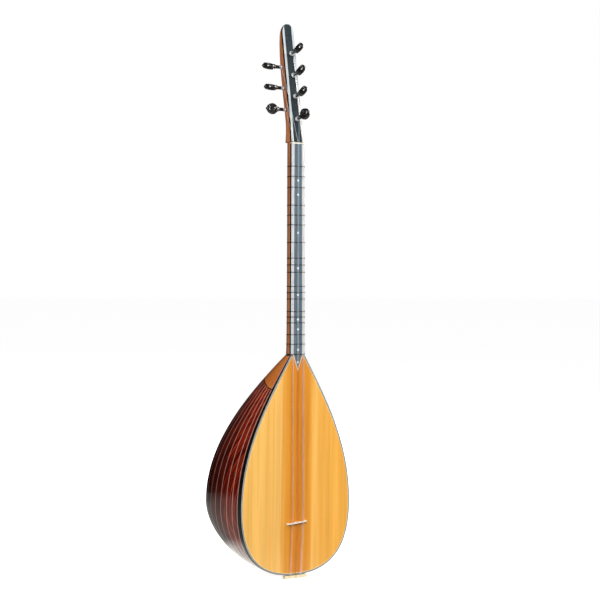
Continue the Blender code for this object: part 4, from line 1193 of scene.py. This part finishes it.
def make_floor():
    """A wide white floor. Mirror reflections see it darker than the camera does."""
    base = CAD_BOX[0].z - 0.0006
    reach = 30.0
    mesh = bpy.data.meshes.new("floor")
    mesh.from_pydata([(-reach, -reach, base), (reach, -reach, base), (reach, reach, base),
                      (-reach, reach, base)], [], [(0, 1, 2, 3)])
    f = Finish("floor", Roughness=0.9, Specular_IOR_Level=0.0)
    path = f.node("ShaderNodeLightPath")
    seen, mirrored = path.outputs["Is Camera Ray"], path.outputs["Is Glossy Ray"]
    # Painted light: what reflections see is the floor's glow, which varies with the place behind the
    # instrument, seen from the camera, from 0.4 m in front of it to 1.6 m behind
    behind = f.node("ShaderNodeVectorMath", {0: f.place((1, 1, 1)), 1: (0.549, 0.836, 0.0)},
                    operation="DOT_PRODUCT").outputs["Value"]
    levels = ((0.02, 0.05), (0.18, 0.28), (0.32, 0.22), (0.45, 0.17), (0.60, 0.14), (0.68, 0.07),
              (0.815, 0.06), (0.825, 0.0))
    near = f.ramp(f.maths("MULTIPLY_ADD", behind, 0.5, 0.2),
                  [(at, (0.97 * level, level, 0.93 * level)) for at, level in levels])
    # and a painted pool of light makes that glow brightest right beside the instrument
    away = f.node("ShaderNodeVectorMath", {0: f.place((1, 1, 0))}, operation="LENGTH")
    near = f.mix(1.0, near, f.ramp(away.outputs["Value"], ((0.19, (0.87, 0.9, 0.84)),
                                                           (0.29, (0.0, 0.0, 0.0)))), "LIGHTEN")
    f.give("Base Color", f.mix(mirrored, f.mix(seen, (0.26, 0.26, 0.26), (0.86, 0.86, 0.86)),
                               (0.0, 0.0, 0.0)))
    f.give("Emission Color", f.mix(seen, near, (0.88, 0.88, 0.88)))
    f.give("Emission Strength", f.maths("MULTIPLY_ADD", mirrored, 1.8, seen))
    mesh.materials.append(f.material)
    linked("floor", mesh)


def make_light(name, place, target, size, radiance, tint=(1, 1, 1)):
    """A softbox: a rectangular light of that radiance that faces the target."""
    data = bpy.data.lights.new(name, "AREA")
    data.shape = "RECTANGLE"
    data.size, data.size_y = size
    data.energy = radiance * size[0] * size[1] * math.pi
    data.color = tint
    lamp = linked(name, data)
    lamp.location = place
    lamp.rotation_euler = (Vector(target) - Vector(place)).to_track_quat("-Z", "Y").to_euler()
    lamp.visible_camera = False


def make_world():
    """White behind the instrument, soft light, and in reflections a grey front and a dark back."""
    world = bpy.data.worlds.new("studio")
    bpy.context.scene.world = world
    world.use_nodes = True
    tree = world.node_tree

    def value(operation, a, b, c=0.0):
        made = tree.nodes.new("ShaderNodeMath")
        made.operation = operation
        for socket, source in zip(made.inputs, (a, b, c)):
            if isinstance(source, bpy.types.NodeSocket):
                tree.links.new(source, socket)
            else:
                socket.default_value = source
        return made.outputs[0]

    path = tree.nodes.new("ShaderNodeLightPath").outputs
    split = tree.nodes.new("ShaderNodeSeparateXYZ")
    tree.links.new(tree.nodes.new("ShaderNodeTexCoord").outputs["Generated"], split.inputs[0])
    front = value("MAXIMUM", value("MULTIPLY", split.outputs[1], -1.0), 0.0)
    glossy = value("MULTIPLY", value("MULTIPLY_ADD", front, 0.16, 0.01), path["Is Glossy Ray"])
    beside = value("MULTIPLY_ADD", split.outputs[1], -0.9, value("MULTIPLY", split.outputs[0], 0.44))
    diffuse = value("MULTIPLY_ADD", value("MAXIMUM", beside, 0.0), 0.42, 0.03)
    diffuse = value("MULTIPLY", diffuse, path["Is Diffuse Ray"])
    total = value("ADD", value("ADD", diffuse, glossy), path["Is Camera Ray"])
    back = tree.nodes["Background"]
    back.inputs["Color"].default_value = (1, 1, 1, 1)
    tree.links.new(total, back.inputs["Strength"])


def make_studio():
    make_floor()
    make_world()
    middle = (0.0, 0.05, -0.35)
    make_light("softbox_front", (0.2, -2.1, 1.9), middle, (2.0, 1.5), 3.0, (1.0, 0.995, 0.98))
    make_light("softbox_right", (3.0, -0.45, 1.0), middle, (1.0, 1.3), 17.0, (0.95, 0.98, 1.0))
    make_light("softbox_left", (-1.45, -2.65, 0.7), middle, (1.2, 1.8), 12.4, (1.0, 0.99, 0.97))
    make_light("softbox_back", (2.3, 2.0, 0.3), middle, (1.2, 1.6), 5.0)
    bpy.context.scene.view_settings.view_transform = "Standard"


# ---------------------------------------------------------------- the whole instrument

make_camera()
make_studio()
make_bowl()
make_soundboard()
make_neck()
make_frets()
PEGS = list(peg_places())
make_peghead(PEGS)
make_pegs(PEGS)
make_bridge()
make_string_holder()
finish_cad_nodes()
